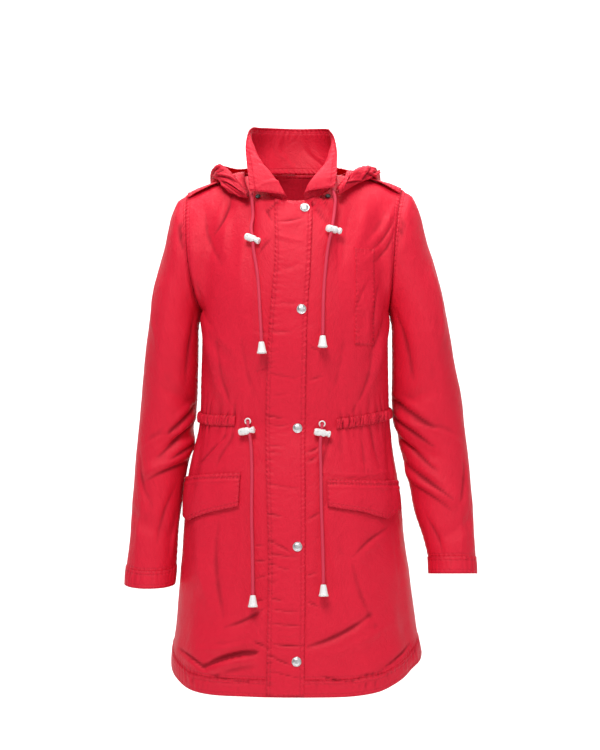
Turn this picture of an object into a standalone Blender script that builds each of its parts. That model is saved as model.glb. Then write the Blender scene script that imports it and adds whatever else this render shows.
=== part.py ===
"""Hooded raincoat in the form it takes when worn: zipped front under a storm flap, drawn-in waist,
turned-back collar, hood thrown back, set-in sleeves with cuffs, shirt-tail hem.

Metres, +Z up, the front faces -Y. The origin is the centre of the neck opening at the height of the
side neck, where the wearer holds the coat. "left" and "right" are as seen from the front, so right is +X.
"""
import math

import bpy
import numpy as np
from mathutils import Matrix, Vector
from mathutils.bvhtree import BVHTree

# ---------------------------------------------------------------- driving sizes
CLOTH = 0.0016          # wall of one panel
SEAM = 0.0003           # gap between pieces that are sewn together
ON_CLOTH = 0.0006       # gap under a piece that lies on a panel
SQUARE = 2.3            # exponent of the body's rounded-square section
SLEEVE_SQUARE = 2.1     # exponent of the sleeve's section
BUST = -0.215           # height of the armpits
NECK_HALF = 0.066       # half-width of the neckline
NECK_SHARE = 0.26       # share of a panel's width that the neckline takes
HEM_BAND = 0.025        # depth of the hem band
CORD_RADIUS = 0.0025
LOCK_LENGTH = 0.026
LOCK_RADIUS = 0.0058
BORE_PLAY = 0.0008      # play round the cord in its lock
BELL_HEIGHT = 0.0185
BELL_TOP_RADIUS = 0.0042
BELL_MOUTH_RADIUS = 0.0078
SNAP_RADIUS = 0.0075
SNAP_HEIGHT = 0.0028
SNAP_CLEAR = 0.0009     # gap between a snap and the flap it sits on
# Turned profiles from the foot up: radius and height, as shares of the piece's own for snap and lock.
SNAP_PROFILE = ((0, 0), (0.93, 0), (1, 0.25), (0.92, 0.6), (0.6, 0.92), (0, 1))
LOCK_PROFILE = ((0, -1), (0.7, -1), (0.97, -0.8), (1, 0.35), (0.72, 0.45), (0.72, 0.85), (0.5, 1), (0, 1))
EYELET_PROFILE = ((0, 0), (0.0042, 0), (0.0048, 0.0006), (0.0036, 0.0012), (0, 0.0012))
BELL_PROFILE = ((0, 0), (0.0070, 0), (BELL_MOUTH_RADIUS, 0.0022), (0.0053, 0.0115),
                (BELL_TOP_RADIUS, 0.0176), (0.0034, BELL_HEIGHT), (0, BELL_HEIGHT))

SIDES = {"left": -1.0, "right": 1.0}
RED = (0.70, 0.028, 0.055)
CORD_RED = (0.66, 0.03, 0.075)
WHITE = (0.86, 0.86, 0.85)
SILVER = (0.72, 0.72, 0.73)


def table(names, *rows):
    """Rows of numbers as named columns."""
    return {name: np.array(values, float) for name, values in zip(names.split(), zip(*rows))}


def spline(knots, values, at):
    """Smooth curve through the values, or rows of values, at rising knots, held at the ends."""
    slopes = np.gradient(values, knots, axis=0)
    at = np.clip(at, knots[0], knots[-1])
    low = np.clip(np.searchsorted(knots, at, side="right") - 1, 0, len(knots) - 2)
    shape = np.shape(low) + (1,) * (values.ndim - 1)
    step = np.reshape(knots[low + 1] - knots[low], shape)
    t = np.reshape(at - knots[low], shape) / step
    start = (2 * t**3 - 3 * t**2 + 1) * values[low] + (t**3 - 2 * t**2 + t) * step * slopes[low]
    return start + (3 * t**2 - 2 * t**3) * values[low + 1] + (t**3 - t**2) * step * slopes[low + 1]


def unit(vectors):
    return vectors / np.maximum(np.linalg.norm(vectors, axis=-1, keepdims=True), 1e-12)


def smooth_step(low, high, at):
    t = np.clip((at - low) / (high - low), 0, 1)
    return t * t * (3 - 2 * t)


# ---------------------------------------------------------------- tables of the cut
# Half-widths and depths of the body from the hem up to the armpits.
BODY = table(
    "height left right front back",
    (-0.830, 0.203, 0.203, 0.150, 0.150),
    (-0.765, 0.200, 0.202, 0.151, 0.149),
    (-0.732, 0.195, 0.195, 0.148, 0.148),
    (-0.684, 0.190, 0.189, 0.145, 0.145),
    (-0.620, 0.185, 0.180, 0.140, 0.141),
    (-0.556, 0.181, 0.172, 0.135, 0.135),
    (-0.488, 0.175, 0.165, 0.128, 0.124),
    (-0.449, 0.168, 0.158, 0.122, 0.114),
    (-0.400, 0.156, 0.152, 0.114, 0.101),
    (-0.337, 0.154, 0.150, 0.120, 0.103),
    (-0.262, 0.152, 0.149, 0.129, 0.110),
    (-0.215, 0.151, 0.149, 0.127, 0.112),
)
# Lower edge of the coat from the centre line (u = 0) to the side seam (u = 1).
HEM = table(
    "u left right",
    (0.00, -0.818, -0.818),
    (0.30, -0.818, -0.816),
    (0.45, -0.817, -0.809),
    (0.60, -0.811, -0.796),
    (0.80, -0.795, -0.777),
    (1.00, -0.772, -0.762),
)
# Shoulder tip, and how far the front armhole curves in towards the chest.
ARMHOLE = table(
    "side tip_x tip_y tip_z pull_top pull_low",
    (-1, 0.177, 0.012, -0.026, 0.010, -0.070),
    (1, 0.173, 0.012, -0.018, -0.050, -0.020),
)
# Largest folds: a soft ridge (lift > 0) or trough along a line, in body angle (0 centre front, 1 side
# seam, 2 centre back, left negative) and height.
FOLDS = table(
    "turn_a height_a turn_b height_b width lift",
    (-0.62, -0.50, -0.55, -0.80, 0.022, 0.0040),
    (-0.30, -0.56, -0.22, -0.81, 0.020, -0.0035),
    (0.30, -0.52, 0.36, -0.81, 0.022, 0.0040),
    (0.66, -0.55, 0.70, -0.79, 0.020, -0.0035),
    (-0.80, -0.42, -0.70, -0.49, 0.014, -0.0030),
    (0.80, -0.42, 0.72, -0.49, 0.014, -0.0030),
    (-0.90, -0.24, -0.55, -0.30, 0.016, 0.0030),
    (0.90, -0.24, 0.58, -0.31, 0.016, 0.0030),
    (0.55, -0.07, 0.42, -0.13, 0.016, 0.0030),
    (-0.52, -0.05, -0.44, -0.12, 0.016, -0.0025),
    (1.35, -0.47, 1.30, -0.80, 0.024, 0.0045),
    (1.75, -0.46, 1.78, -0.81, 0.024, -0.0040),
    (-1.40, -0.48, -1.36, -0.80, 0.024, 0.0045),
    (-1.80, -0.47, -1.72, -0.81, 0.024, 0.0040),
    (1.30, -0.36, 1.55, -0.30, 0.016, -0.0030),
    (-1.28, -0.36, -1.58, -0.31, 0.016, -0.0030),
)
METRES_PER_TURN = 0.235

# Sleeves from just under the armpit to the cuff seam: edges nearer (inner) and farther from the body.
SLEEVE = {
    "left": table(
        "height outer inner middle depth pitch",
        (-0.250, 0.2405, 0.1575, 0.010, 0.062, 0.0),
        (-0.300, 0.2466, 0.1580, 0.013, 0.060, 0.0),
        (-0.360, 0.2515, 0.1610, 0.017, 0.057, 0.0),
        (-0.410, 0.2560, 0.1640, 0.018, 0.055, 0.0),
        (-0.455, 0.2600, 0.1740, 0.014, 0.052, 0.0),
        (-0.500, 0.2633, 0.1815, 0.008, 0.049, 0.0),
        (-0.545, 0.2657, 0.1880, 0.000, 0.046, 0.0),
        (-0.590, 0.2690, 0.1905, -0.008, 0.044, 0.06),
        (-0.628, 0.2735, 0.1930, -0.015, 0.043, 0.12),
        (-0.654, 0.2755, 0.1950, -0.019, 0.043, 0.12),
    ),
    "right": table(
        "height outer inner middle depth pitch",
        (-0.250, 0.2495, 0.1550, 0.010, 0.062, 0.0),
        (-0.300, 0.2580, 0.1555, 0.013, 0.060, 0.0),
        (-0.355, 0.2690, 0.1560, 0.016, 0.058, 0.0),
        (-0.405, 0.2740, 0.1590, 0.016, 0.056, 0.0),
        (-0.450, 0.2790, 0.1735, 0.010, 0.053, 0.0),
        (-0.495, 0.2830, 0.1835, 0.000, 0.049, 0.0),
        (-0.540, 0.2850, 0.1925, -0.012, 0.046, -0.04),
        (-0.580, 0.2870, 0.2040, -0.023, 0.043, -0.08),
        (-0.612, 0.2885, 0.2120, -0.031, 0.041, -0.10),
        (-0.637, 0.2895, 0.2130, -0.037, 0.041, -0.10),
    ),
}
CUFF_ROW = 8            # row of SLEEVE at which the cuff is sewn on
# Sleeve folds: angle round the sleeve (0 outer, 0.25 front, 0.5 inner, 0.75 back) and height.
SLEEVE_FOLDS = {
    "left": table(
        "turn_a height_a turn_b height_b width lift",
        (0.50, -0.405, 0.30, -0.425, 0.011, -0.0050),
        (0.48, -0.435, 0.22, -0.470, 0.012, 0.0045),
        (0.45, -0.370, 0.25, -0.345, 0.012, -0.0035),
        (0.05, -0.060, 0.16, -0.150, 0.016, -0.0030),
        (0.62, -0.420, 0.80, -0.400, 0.012, -0.0040),
        (0.10, -0.545, 0.35, -0.575, 0.012, -0.0030),
    ),
    "right": table(
        "turn_a height_a turn_b height_b width lift",
        (0.50, -0.415, 0.30, -0.445, 0.011, -0.0050),
        (0.45, -0.480, 0.22, -0.515, 0.012, 0.0045),
        (0.44, -0.370, 0.26, -0.350, 0.012, -0.0035),
        (0.05, -0.060, 0.16, -0.150, 0.016, -0.0030),
        (0.62, -0.420, 0.80, -0.400, 0.012, -0.0040),
        (0.12, -0.555, 0.32, -0.580, 0.012, -0.0030),
    ),
}
SLEEVE_METRES_PER_TURN = 0.30
SLEEVE_HEAD = 0.046     # fullness of the sleeve's head over the shoulder
HEAD_WAY = (0.92, 0.39)  # how far it goes out and up
ARMPIT_EASE = 0.6       # how much of the sleeve's own slope reaches the armpit

# Collar: base on the neckline (turn 0 front, 1 side, 2 back), the roll line and the free edge. The
# front corners are folded out, so that the free edge runs down beside the fold.
COLLAR = {
    "left": table(
        "turn roll_x roll_y roll_z edge_x edge_y edge_z",
        (0.14, 0.0195, -0.084, -0.0345, 0.0726, -0.079, -0.0275),
        (0.27, 0.0240, -0.080, -0.0215, 0.0755, -0.071, -0.006),
        (0.45, 0.0385, -0.069, -0.0015, 0.0785, -0.058, 0.020),
        (0.66, 0.0560, -0.050, 0.0190, 0.0805, -0.044, 0.048),
        (0.85, 0.0665, -0.030, 0.0390, 0.0770, -0.027, 0.071),
        (1.05, 0.0730, 0.000, 0.0420, 0.0712, -0.006, 0.081),
        (1.35, 0.0620, 0.040, 0.0450, 0.0580, 0.036, 0.086),
        (2.00, 0.0000, 0.070, 0.0500, 0.0000, 0.070, 0.088),
    ),
    "right": table(
        "turn roll_x roll_y roll_z edge_x edge_y edge_z",
        (0.14, 0.0160, -0.084, -0.0300, 0.0614, -0.079, -0.022),
        (0.27, 0.0200, -0.080, -0.0190, 0.0645, -0.071, -0.003),
        (0.45, 0.0310, -0.069, -0.0045, 0.0655, -0.057, 0.018),
        (0.66, 0.0455, -0.050, 0.0110, 0.0657, -0.044, 0.040),
        (0.85, 0.0550, -0.030, 0.0310, 0.0615, -0.026, 0.063),
        (1.05, 0.0620, 0.000, 0.0400, 0.0540, -0.006, 0.0765),
        (1.35, 0.0570, 0.040, 0.0450, 0.0500, 0.036, 0.084),
        (2.00, 0.0000, 0.070, 0.0500, 0.0000, 0.070, 0.088),
    ),
}
COLLAR_KNOTS = np.array([0.0, 0.42, 1.0])   # base, roll line and edge along the collar's width
COLLAR_INSET = np.array([0.985, 0.985, 1])  # its base lies just inside the neckline, and just over it
COLLAR_LIFT = np.array([0, 0, 0.0012])
# Hood, half of it from its front end (share 0) to the centre back (share 1): the rim of the face
# opening, the lobe's crest, its outermost belly, its lowest turn, the layer under it, and its seam
# on the neckline.
HOOD_NAMES = ("rim", "crest", "belly", "turn", "lap", "neck")
HOOD_COLUMNS = "share " + " ".join(f"{name}_{axis}" for name in HOOD_NAMES for axis in "xyz")
HOOD = {
    "left": table(
        HOOD_COLUMNS,
        (0.00, 0.0745, -0.070, -0.029, 0.0765, -0.073, -0.029, 0.0790, -0.075, -0.033,
         0.0775, -0.072, -0.0385, 0.0755, -0.066, -0.036, 0.0735, -0.060, -0.030),
        (0.12, 0.0860, -0.048, -0.018, 0.0885, -0.052, -0.016, 0.0920, -0.056, -0.024,
         0.0900, -0.054, -0.0335, 0.0850, -0.047, -0.0255, 0.0795, -0.038, -0.014),
        (0.26, 0.1060, -0.018, 0.009, 0.1095, -0.026, 0.010, 0.1165, -0.034, -0.006,
         0.1125, -0.035, -0.0205, 0.1015, -0.0265, -0.008, 0.0830, -0.016, 0.003),
        (0.38, 0.1215, 0.008, 0.022, 0.1260, 0.005, 0.022, 0.1330, 0.004, 0.009,
         0.1265, 0.004, -0.003, 0.1120, 0.006, 0.003, 0.0830, 0.004, 0.008),
        (0.50, 0.1180, 0.034, 0.024, 0.1290, 0.034, 0.021, 0.1390, 0.040, -0.002,
         0.1330, 0.044, -0.022, 0.1150, 0.034, -0.002, 0.0800, 0.020, 0.009),
        (0.64, 0.0930, 0.070, 0.028, 0.1100, 0.086, 0.020, 0.1290, 0.108, -0.040,
         0.1170, 0.120, -0.088, 0.1020, 0.094, -0.040, 0.0660, 0.048, 0.007),
        (0.80, 0.0540, 0.113, 0.034, 0.0680, 0.134, 0.024, 0.0880, 0.150, -0.072,
         0.0780, 0.150, -0.158, 0.0640, 0.122, -0.074, 0.0400, 0.069, 0.006),
        (1.00, 0.0000, 0.130, 0.040, 0.0000, 0.156, 0.030, 0.0000, 0.180, -0.080,
         0.0000, 0.160, -0.190, 0.0000, 0.126, -0.080, 0.0000, 0.080, 0.006),
    ),
    "right": table(
        HOOD_COLUMNS,
        (0.00, 0.0640, -0.070, -0.025, 0.0665, -0.073, -0.024, 0.0690, -0.075, -0.028,
         0.0675, -0.072, -0.0335, 0.0655, -0.066, -0.031, 0.0640, -0.060, -0.026),
        (0.12, 0.0760, -0.048, -0.008, 0.0790, -0.053, -0.006, 0.0830, -0.058, -0.014,
         0.0810, -0.056, -0.0245, 0.0780, -0.048, -0.022, 0.0740, -0.038, -0.014),
        (0.26, 0.0960, -0.018, 0.011, 0.1005, -0.023, 0.013, 0.1090, -0.029, 0.004,
         0.1055, -0.029, -0.010, 0.0965, -0.021, -0.003, 0.0800, -0.016, 0.003),
        (0.38, 0.1160, 0.008, 0.018, 0.1205, 0.005, 0.018, 0.1330, 0.004, 0.011,
         0.1285, 0.004, -0.001, 0.1120, 0.006, 0.003, 0.0820, 0.004, 0.008),
        (0.50, 0.1140, 0.034, 0.019, 0.1250, 0.034, 0.017, 0.1370, 0.040, -0.002,
         0.1310, 0.044, -0.020, 0.1150, 0.034, -0.002, 0.0800, 0.020, 0.009),
        (0.64, 0.0900, 0.070, 0.026, 0.1060, 0.086, 0.019, 0.1260, 0.108, -0.038,
         0.1160, 0.120, -0.092, 0.1020, 0.094, -0.040, 0.0660, 0.048, 0.007),
        (0.80, 0.0540, 0.113, 0.033, 0.0680, 0.134, 0.024, 0.0880, 0.150, -0.070,
         0.0780, 0.150, -0.156, 0.0640, 0.122, -0.074, 0.0400, 0.069, 0.006),
        (1.00, 0.0000, 0.130, 0.040, 0.0000, 0.156, 0.030, 0.0000, 0.180, -0.080,
         0.0000, 0.160, -0.190, 0.0000, 0.126, -0.080, 0.0000, 0.080, 0.006),
    ),
}
HOOD_KNOTS = np.array([0.0, 0.12, 0.38, 0.60, 0.80, 1.0])   # where its lines lie across its width
HOOD_CLEAR = 0.0074     # least height of the hood over the shoulders and back
FLAP_CLEAR = 0.0011     # gap under a pocket flap, which hangs free
FLAP_BOW = 0.0010       # how much further a flap stands off halfway down
# Shoulder straps: their ends as shares of the panel's width, and their reach down it to either side.
EPAULETTE_SHARES = (0.44, 0.985)
EPAULETTE_REACH = 0.10
EPAULETTE_CLEAR = 0.0010   # it lies over the shoulder seam

# Storm flap: its two edges from the hem up.
PLACKET = table(
    "height left right",
    (-0.818, -0.0461, 0.0127),
    (-0.600, -0.0431, 0.0143),
    (-0.400, -0.0475, 0.0143),
    (-0.200, -0.0387, 0.0190),
    (-0.150, -0.0340, 0.0222),
    (-0.040, -0.0340, 0.0255),
)
SNAPS = table(
    "x height",
    (0.0136, -0.0560),
    (0.0088, -0.2165),
    (0.0026, -0.4022),
    (0.0026, -0.5856),
    (0.0011, -0.7621),
)
# Pocket flaps, from the edge nearer the centre (across 0) to the one nearer the side (across 1).
FLAPS = {
    "left": table(
        "across u top low",
        (0.00, 0.295, -0.4722, -0.5235),
        (0.36, 0.500, -0.4750, -0.5350),
        (0.72, 0.730, -0.4790, -0.5510),
        (1.00, 0.945, -0.4830, -0.5430),
    ),
    "right": table(
        "across u top low",
        (0.00, 0.155, -0.4820, -0.5235),
        (0.36, 0.370, -0.4840, -0.5330),
        (0.74, 0.610, -0.4860, -0.5465),
        (1.00, 0.840, -0.4880, -0.5340),
    ),
}
WELT = {"x": (0.0930, 0.1240), "height": (-0.272, -0.119)}
# Waist casings: share of the panel's width, middle height and half the band's height.
CASING_HALF = 0.0085
CASING_RISE = 0.0030
CASINGS = {
    "left": table("u height", (0.385, -0.3910), (0.70, -0.3900), (1.0, -0.3860)),
    "right": table("u height", (0.235, -0.3960), (0.60, -0.3870), (1.0, -0.3800)),
}
EYELETS = {"left": (-0.0741, -0.3915), "right": (0.0405, -0.3955)}

# Cord routes from the exit to the bell end: across, height, and how far the cord's middle stands off
# the cloth under it.
CORDS = {
    "hood_cord_left": table(
        "x height lift",
        (-0.0680, -0.0310, 0.0200), (-0.0676, -0.0480, 0.0130), (-0.0668, -0.0680, 0.0085),
        (-0.0650, -0.0880, 0.0088), (-0.0636, -0.1050, 0.0090), (-0.0632, -0.1230, 0.0080),
        (-0.0612, -0.1440, 0.0050), (-0.0588, -0.1660, 0.0034), (-0.0572, -0.1880, 0.0033),
        (-0.0558, -0.2100, 0.0050), (-0.0545, -0.2320, 0.0065), (-0.0532, -0.2500, 0.0080),
        (-0.0524, -0.2670, 0.0092),
    ),
    "hood_cord_right": table(
        "x height lift",
        (0.0590, -0.0240, 0.0220), (0.0588, -0.0400, 0.0150), (0.0578, -0.0600, 0.0095),
        (0.0560, -0.0760, 0.0092), (0.0542, -0.0900, 0.0092), (0.0512, -0.1060, 0.0082),
        (0.0484, -0.1260, 0.0045), (0.0462, -0.1500, 0.0031), (0.0440, -0.1750, 0.0031),
        (0.0424, -0.2000, 0.0050), (0.0418, -0.2220, 0.0065), (0.0415, -0.2400, 0.0080),
        (0.0411, -0.2575, 0.0092),
    ),
    "waist_cord_left": table(
        "x height lift",
        (-0.0742, -0.3915, 0.0048), (-0.0738, -0.3980, 0.0078), (-0.0724, -0.4060, 0.0086),
        (-0.0708, -0.4160, 0.0075), (-0.0690, -0.4350, 0.0055), (-0.0682, -0.4600, 0.0045),
        (-0.0680, -0.4900, 0.0046), (-0.0682, -0.5200, 0.0048), (-0.0678, -0.5500, 0.0050),
        (-0.0668, -0.5800, 0.0055), (-0.0660, -0.6100, 0.0064), (-0.0654, -0.6350, 0.0080),
        (-0.0650, -0.6600, 0.0094),
    ),
    "waist_cord_right": table(
        "x height lift",
        (0.0405, -0.3955, 0.0048), (0.0402, -0.4015, 0.0078), (0.0392, -0.4090, 0.0086),
        (0.0380, -0.4190, 0.0075), (0.0378, -0.4400, 0.0055), (0.0386, -0.4650, 0.0045),
        (0.0390, -0.4950, 0.0046), (0.0394, -0.5250, 0.0048), (0.0402, -0.5500, 0.0050),
        (0.0410, -0.5750, 0.0056), (0.0416, -0.6000, 0.0066), (0.0420, -0.6210, 0.0080),
        (0.0422, -0.6430, 0.0094),
    ),
}
# Where each lock sits: its cord's point, a shift along the barrel, and the barrel's tilt in degrees.
LOCKS = {
    "hood_cord_left": (4, -0.0005, -22.0),
    "hood_cord_right": (4, 0.0035, -10.0),
    "waist_cord_left": (2, -0.0035, 10.0),
    "waist_cord_right": (2, 0.0015, -10.0),
}
CORD_POINTS = 23
CORD_HANG = (0.5, 1, 0)   # a cord stands off level and mostly forward, whatever the cloth's slope


# ---------------------------------------------------------------- the coat's surface
def fold_lift(folds, turn, height, metres_per_turn):
    """Height of all soft ridges and troughs at a place on the cloth."""
    lift = np.zeros(np.broadcast(turn, height).shape)
    for a_turn, a_height, b_turn, b_height, width, rise in zip(*folds.values()):
        run = np.array([(b_turn - a_turn) * metres_per_turn, b_height - a_height])
        length = math.hypot(*run)
        across = (turn - a_turn) * metres_per_turn
        up = height - a_height
        along = (across * run[0] + up * run[1]) / length
        off = (across * run[1] - up * run[0]) / length
        past = np.maximum(0, np.maximum(-along, along - length))
        lift += rise * np.exp(-(off / width) ** 2 - (past / (1.6 * width)) ** 2)
    return lift


def lower_body(side, back, u, height):
    """The coat below the armpits; u runs from the centre line to the side seam."""
    sign = SIDES[side]
    angle = u * math.pi / 2
    half = spline(BODY["height"], BODY[side], height)
    depth = spline(BODY["height"], BODY["back" if back else "front"], height)
    across = np.sin(angle)
    along = np.cos(angle)
    turn = sign * (2 - u if back else u)
    swell = fold_lift(FOLDS, turn, height, METRES_PER_TURN)
    x = sign * (half * across ** (2 / SQUARE) + swell * across)
    y = (depth * along ** (2 / SQUARE) + swell * along) * (1 if back else -1)
    return np.stack([x, y, height + 0 * u], axis=-1)


def neckline(side, turn):
    """The neck opening: turn 0 is the centre front, 1 the side neck, 2 the centre back."""
    angle = turn * math.pi / 2
    x = SIDES[side] * NECK_HALF * np.sin(angle)
    front = np.cos(angle) > 0
    y = 0.002 - np.where(front, 0.083, 0.062) * np.cos(angle)
    z = 0.005 - np.where(front, 0.048, -0.006) * np.abs(np.cos(angle))
    return np.stack([x, y, z], axis=-1)


def top_line(side, back, u):
    """Neckline, then the shoulder seam out to the armhole."""
    turn = np.clip(u / NECK_SHARE, 0, 1)
    neck = neckline(side, 2 - turn if back else turn)
    share = np.clip((u - NECK_SHARE) / (1 - NECK_SHARE), 0, 1)
    row = 0 if side == "left" else 1
    sign = SIDES[side]
    tip = np.array([sign * ARMHOLE["tip_x"][row], ARMHOLE["tip_y"][row], ARMHOLE["tip_z"][row]])
    start = neckline(side, np.array(1.0))
    seam = start + (tip - start) * share[..., None]
    seam[..., 2] += 0.006 * np.sin(share * math.pi) * (1 - share)
    return np.where((u < NECK_SHARE)[..., None], neck, seam)


def upper_body(side, back, u, v):
    """Chest or shoulder blade: v runs from the top line (0) down to the armpits (1)."""
    sign = SIDES[side]
    row = 0 if side == "left" else 1
    away = 1 if back else -1
    top = top_line(side, back, u)
    low = lower_body(side, back, u, np.full(np.shape(u), BUST))
    blend = smooth_step(0.68, 1.0, u)[..., None]
    neck = 1 - smooth_step(0.0, NECK_SHARE, u)[..., None]
    shoulder = np.array([0, away * 0.205, -0.050])
    centre = np.array([0, away * (0.115 if back else 0.085), -0.190])
    arm_top = np.array([sign * (0.0 if back else ARMHOLE["pull_top"][row]), away * 0.200, -0.160])
    arm_low = np.array([sign * (-0.040 if back else ARMHOLE["pull_low"][row]), -away * 0.220, -0.120])
    start = (shoulder * (1 - neck) + centre * neck) * (1 - blend) + arm_top * blend
    end = np.array([0, away * (-0.010 if back else 0.020), -0.200]) * (1 - blend) + arm_low * blend
    t = v[..., None]
    point = (2 * t**3 - 3 * t**2 + 1) * top + (t**3 - 2 * t**2 + t) * start
    point = point + (3 * t**2 - 2 * t**3) * low + (t**3 - t**2) * end
    turn = sign * (2 - u if back else u)
    swell = fold_lift(FOLDS, turn, point[..., 2], METRES_PER_TURN) * np.sin(t[..., 0] * math.pi)
    point[..., 1] += away * swell
    return point


def hem_height(side, u):
    return spline(HEM["u"], HEM[side], u)


def coat(side, back, u, v):
    """The whole panel: v 0-1 chest, 1-2 down to the hem band's seam, 2-3 the band."""
    u, v = np.broadcast_arrays(np.asarray(u, float), np.asarray(v, float))
    hem = hem_height(side, u)
    seam = hem + HEM_BAND
    height = np.where(v < 2, BUST + (seam - BUST) * (v - 1), seam + (hem - seam) * (v - 2))
    low = lower_body(side, back, u, np.minimum(height, BUST))
    high = upper_body(side, back, u, np.clip(v, 0, 1))
    return np.where((v < 1)[..., None], high, low)


def front_place(side, x, height):
    """Panel coordinates of the front's point that shows at x and height, by Newton's steps."""
    x, height = np.broadcast_arrays(np.asarray(x, float), np.asarray(height, float))
    u = np.clip(np.abs(x) / 0.17, 0.01, 0.9)
    v = np.clip(1 + (height - BUST) / np.where(height > BUST, BUST, -0.58), 0.05, 2.9)
    small = 1e-4
    for _ in range(25):
        here = coat(side, False, u, v)
        by_u = (coat(side, False, u + small, v) - here) / small
        by_v = (coat(side, False, u, v + small) - here) / small
        off_x, off_z = x - here[..., 0], height - here[..., 2]
        scale = by_u[..., 0] * by_v[..., 2] - by_v[..., 0] * by_u[..., 2]
        u = np.clip(u + 0.7 * (off_x * by_v[..., 2] - off_z * by_v[..., 0]) / scale, 0, 0.97)
        v = np.clip(v + 0.7 * (off_z * by_u[..., 0] - off_x * by_u[..., 2]) / scale, 0, 2.95)
    return u, v


def bisector(points, wrap=False):
    """Direction of the lines of points along the first axis: the mean of the steps to and from each."""
    steps = unit(np.diff(points, axis=0))
    if wrap:
        closing = unit(points[:1] - points[-1:])
        return np.concatenate([steps, closing]) + np.concatenate([closing, steps])
    return np.concatenate([steps, steps[-1:]]) + np.concatenate([steps[:1], steps])


def normals(points, wrap=False):
    """Unit normals of a grid of points: along (second axis) x across (first axis)."""
    along = np.swapaxes(bisector(np.swapaxes(points, 0, 1)), 0, 1)
    return unit(np.cross(along, bisector(points, wrap)))


def raised(points, normal, lift):
    return points + normal * lift


# ---------------------------------------------------------------- solids
def make_material(name, colour, roughness, metallic=0.0):
    material = bpy.data.materials.new(name)
    material.use_nodes = True
    shader = material.node_tree.nodes["Principled BSDF"]
    shader.inputs["Base Color"].default_value = (*colour, 1)
    shader.inputs["Roughness"].default_value = roughness
    shader.inputs["Metallic"].default_value = metallic
    material.diffuse_color = (*colour, 1)
    return material


def make_object(name, points, faces, colour=RED, roughness=0.45, metallic=0.0):
    mesh = bpy.data.meshes.new(name)
    mesh.from_pydata([tuple(p) for p in points], [], faces)
    mesh.validate()
    mesh.update()
    mesh.shade_smooth()
    mesh.materials.append(make_material(name, colour, roughness, metallic))
    piece = bpy.data.objects.new(name, mesh)
    bpy.context.scene.collection.objects.link(piece)
    return piece


def square_rim(inward, points, first, second):
    """Takes out what leans an edge's wall over its own seam."""
    edge = unit(points[first] - points[second])
    over = np.maximum(0, np.sum(inward[first] * edge, axis=-1, keepdims=True))
    inward[first] = inward[first] - over * edge


def wall(name, points, thickness=CLOTH, wrap=False, normal=None, colour=RED):
    """A closed cloth wall: the grid is its outer face, and the inner face lies a thickness below it.

    The grid's first axis runs across and its second along, with along x across pointing out.
    """
    normal = normals(points, wrap) if normal is None else normal
    inward = -normal.copy()
    last = (slice(None), -1)
    square_rim(inward, points, (slice(None), 0), (slice(None), 1))
    square_rim(inward, points, last, (slice(None), -2))
    if not wrap:
        square_rim(inward, points, 0, 1)
        square_rim(inward, points, -1, -2)
    inward = unit(inward)
    depth = np.asarray(thickness, float)
    inner = points + inward * (depth[..., None] if depth.ndim else depth)
    across, along = points.shape[:2]
    base = across * along
    vertices = np.concatenate([points.reshape(-1, 3), inner.reshape(-1, 3)])

    def at(i, j):
        return (i % across) * along + j

    faces = []
    for i in range(across if wrap else across - 1):
        for j in range(along - 1):
            corner, far = at(i, j + 1), at(i + 1, j)
            # Both faces of the wall bend along the same diagonal, so that they never cross.
            for triangle in ((corner, at(i + 1, j + 1), far), (corner, far, at(i, j))):
                faces.append(triangle)
                faces.append(tuple(base + k for k in reversed(triangle)))
        faces.append((at(i, 0), at(i + 1, 0), base + at(i + 1, 0), base + at(i, 0)))
        end = along - 1
        faces.append((at(i + 1, end), at(i, end), base + at(i, end), base + at(i + 1, end)))
    if not wrap:
        end = across - 1
        for j in range(along - 1):
            faces.append((at(0, j + 1), at(0, j), base + at(0, j), base + at(0, j + 1)))
            faces.append((at(end, j), at(end, j + 1), base + at(end, j + 1), base + at(end, j)))
    return make_object(name, vertices, faces, colour)


def tighten(points, wrap=False, ends=(True, True)):
    """Draws a grid's edges in by half a seam, so that sewn pieces don't touch."""
    points = points.copy()
    edges = [(ends[0], (slice(None), 0), (slice(None), 1))]
    edges += [(ends[1], (slice(None), -1), (slice(None), -2))]
    if not wrap:
        edges += [(True, 0, 1), (True, -1, -2)]
    for wanted, first, second in edges:
        if wanted:
            points[first] = points[first] + unit(points[second] - points[first]) * SEAM * 0.6
    return points


# ---------------------------------------------------------------- cloth pieces
CHEST_ROWS = 11
# Rows from the armpits down to the hem band's seam, closest at the waist. The back is cut in two at its
# waist row, where the waist casing covers the seam.
WAIST_ROW = 1.296
BODY_ROWS = (1, 1.08, 1.16, 1.23, 1.28, WAIST_ROW, 1.32, 1.36, 1.42, 1.50, 1.58, 1.66, 1.75, 1.84, 1.92, 2)
BAND_ROWS = 3
PLACKET_COLUMNS = 6
PANEL_COLUMNS = 12
NECK_COLUMNS = 4


def panel_rows():
    return np.concatenate([np.linspace(0, 1, CHEST_ROWS)[:-1], BODY_ROWS])


def panel_columns():
    """Closer together along the neckline."""
    neck = np.linspace(0, NECK_SHARE, NECK_COLUMNS + 1)
    shoulder = np.linspace(NECK_SHARE, 1, PANEL_COLUMNS - NECK_COLUMNS)
    return np.concatenate([neck[:-1], shoulder])


# Name before "front_left" and so on, rows and wall of the coat's main panels and of its hem bands.
PANELS = (("", panel_rows(), CLOTH), ("hem_", np.linspace(2, 3, BAND_ROWS), CLOTH * 1.3))


def half_grid(side, back, columns, rows):
    """Grid of one half of the coat, ordered so that its normal points out."""
    grid = coat(side, back, columns[:, None], rows[None, :])
    flip = (side == "left") != back
    return grid[::-1] if flip else grid


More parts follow.
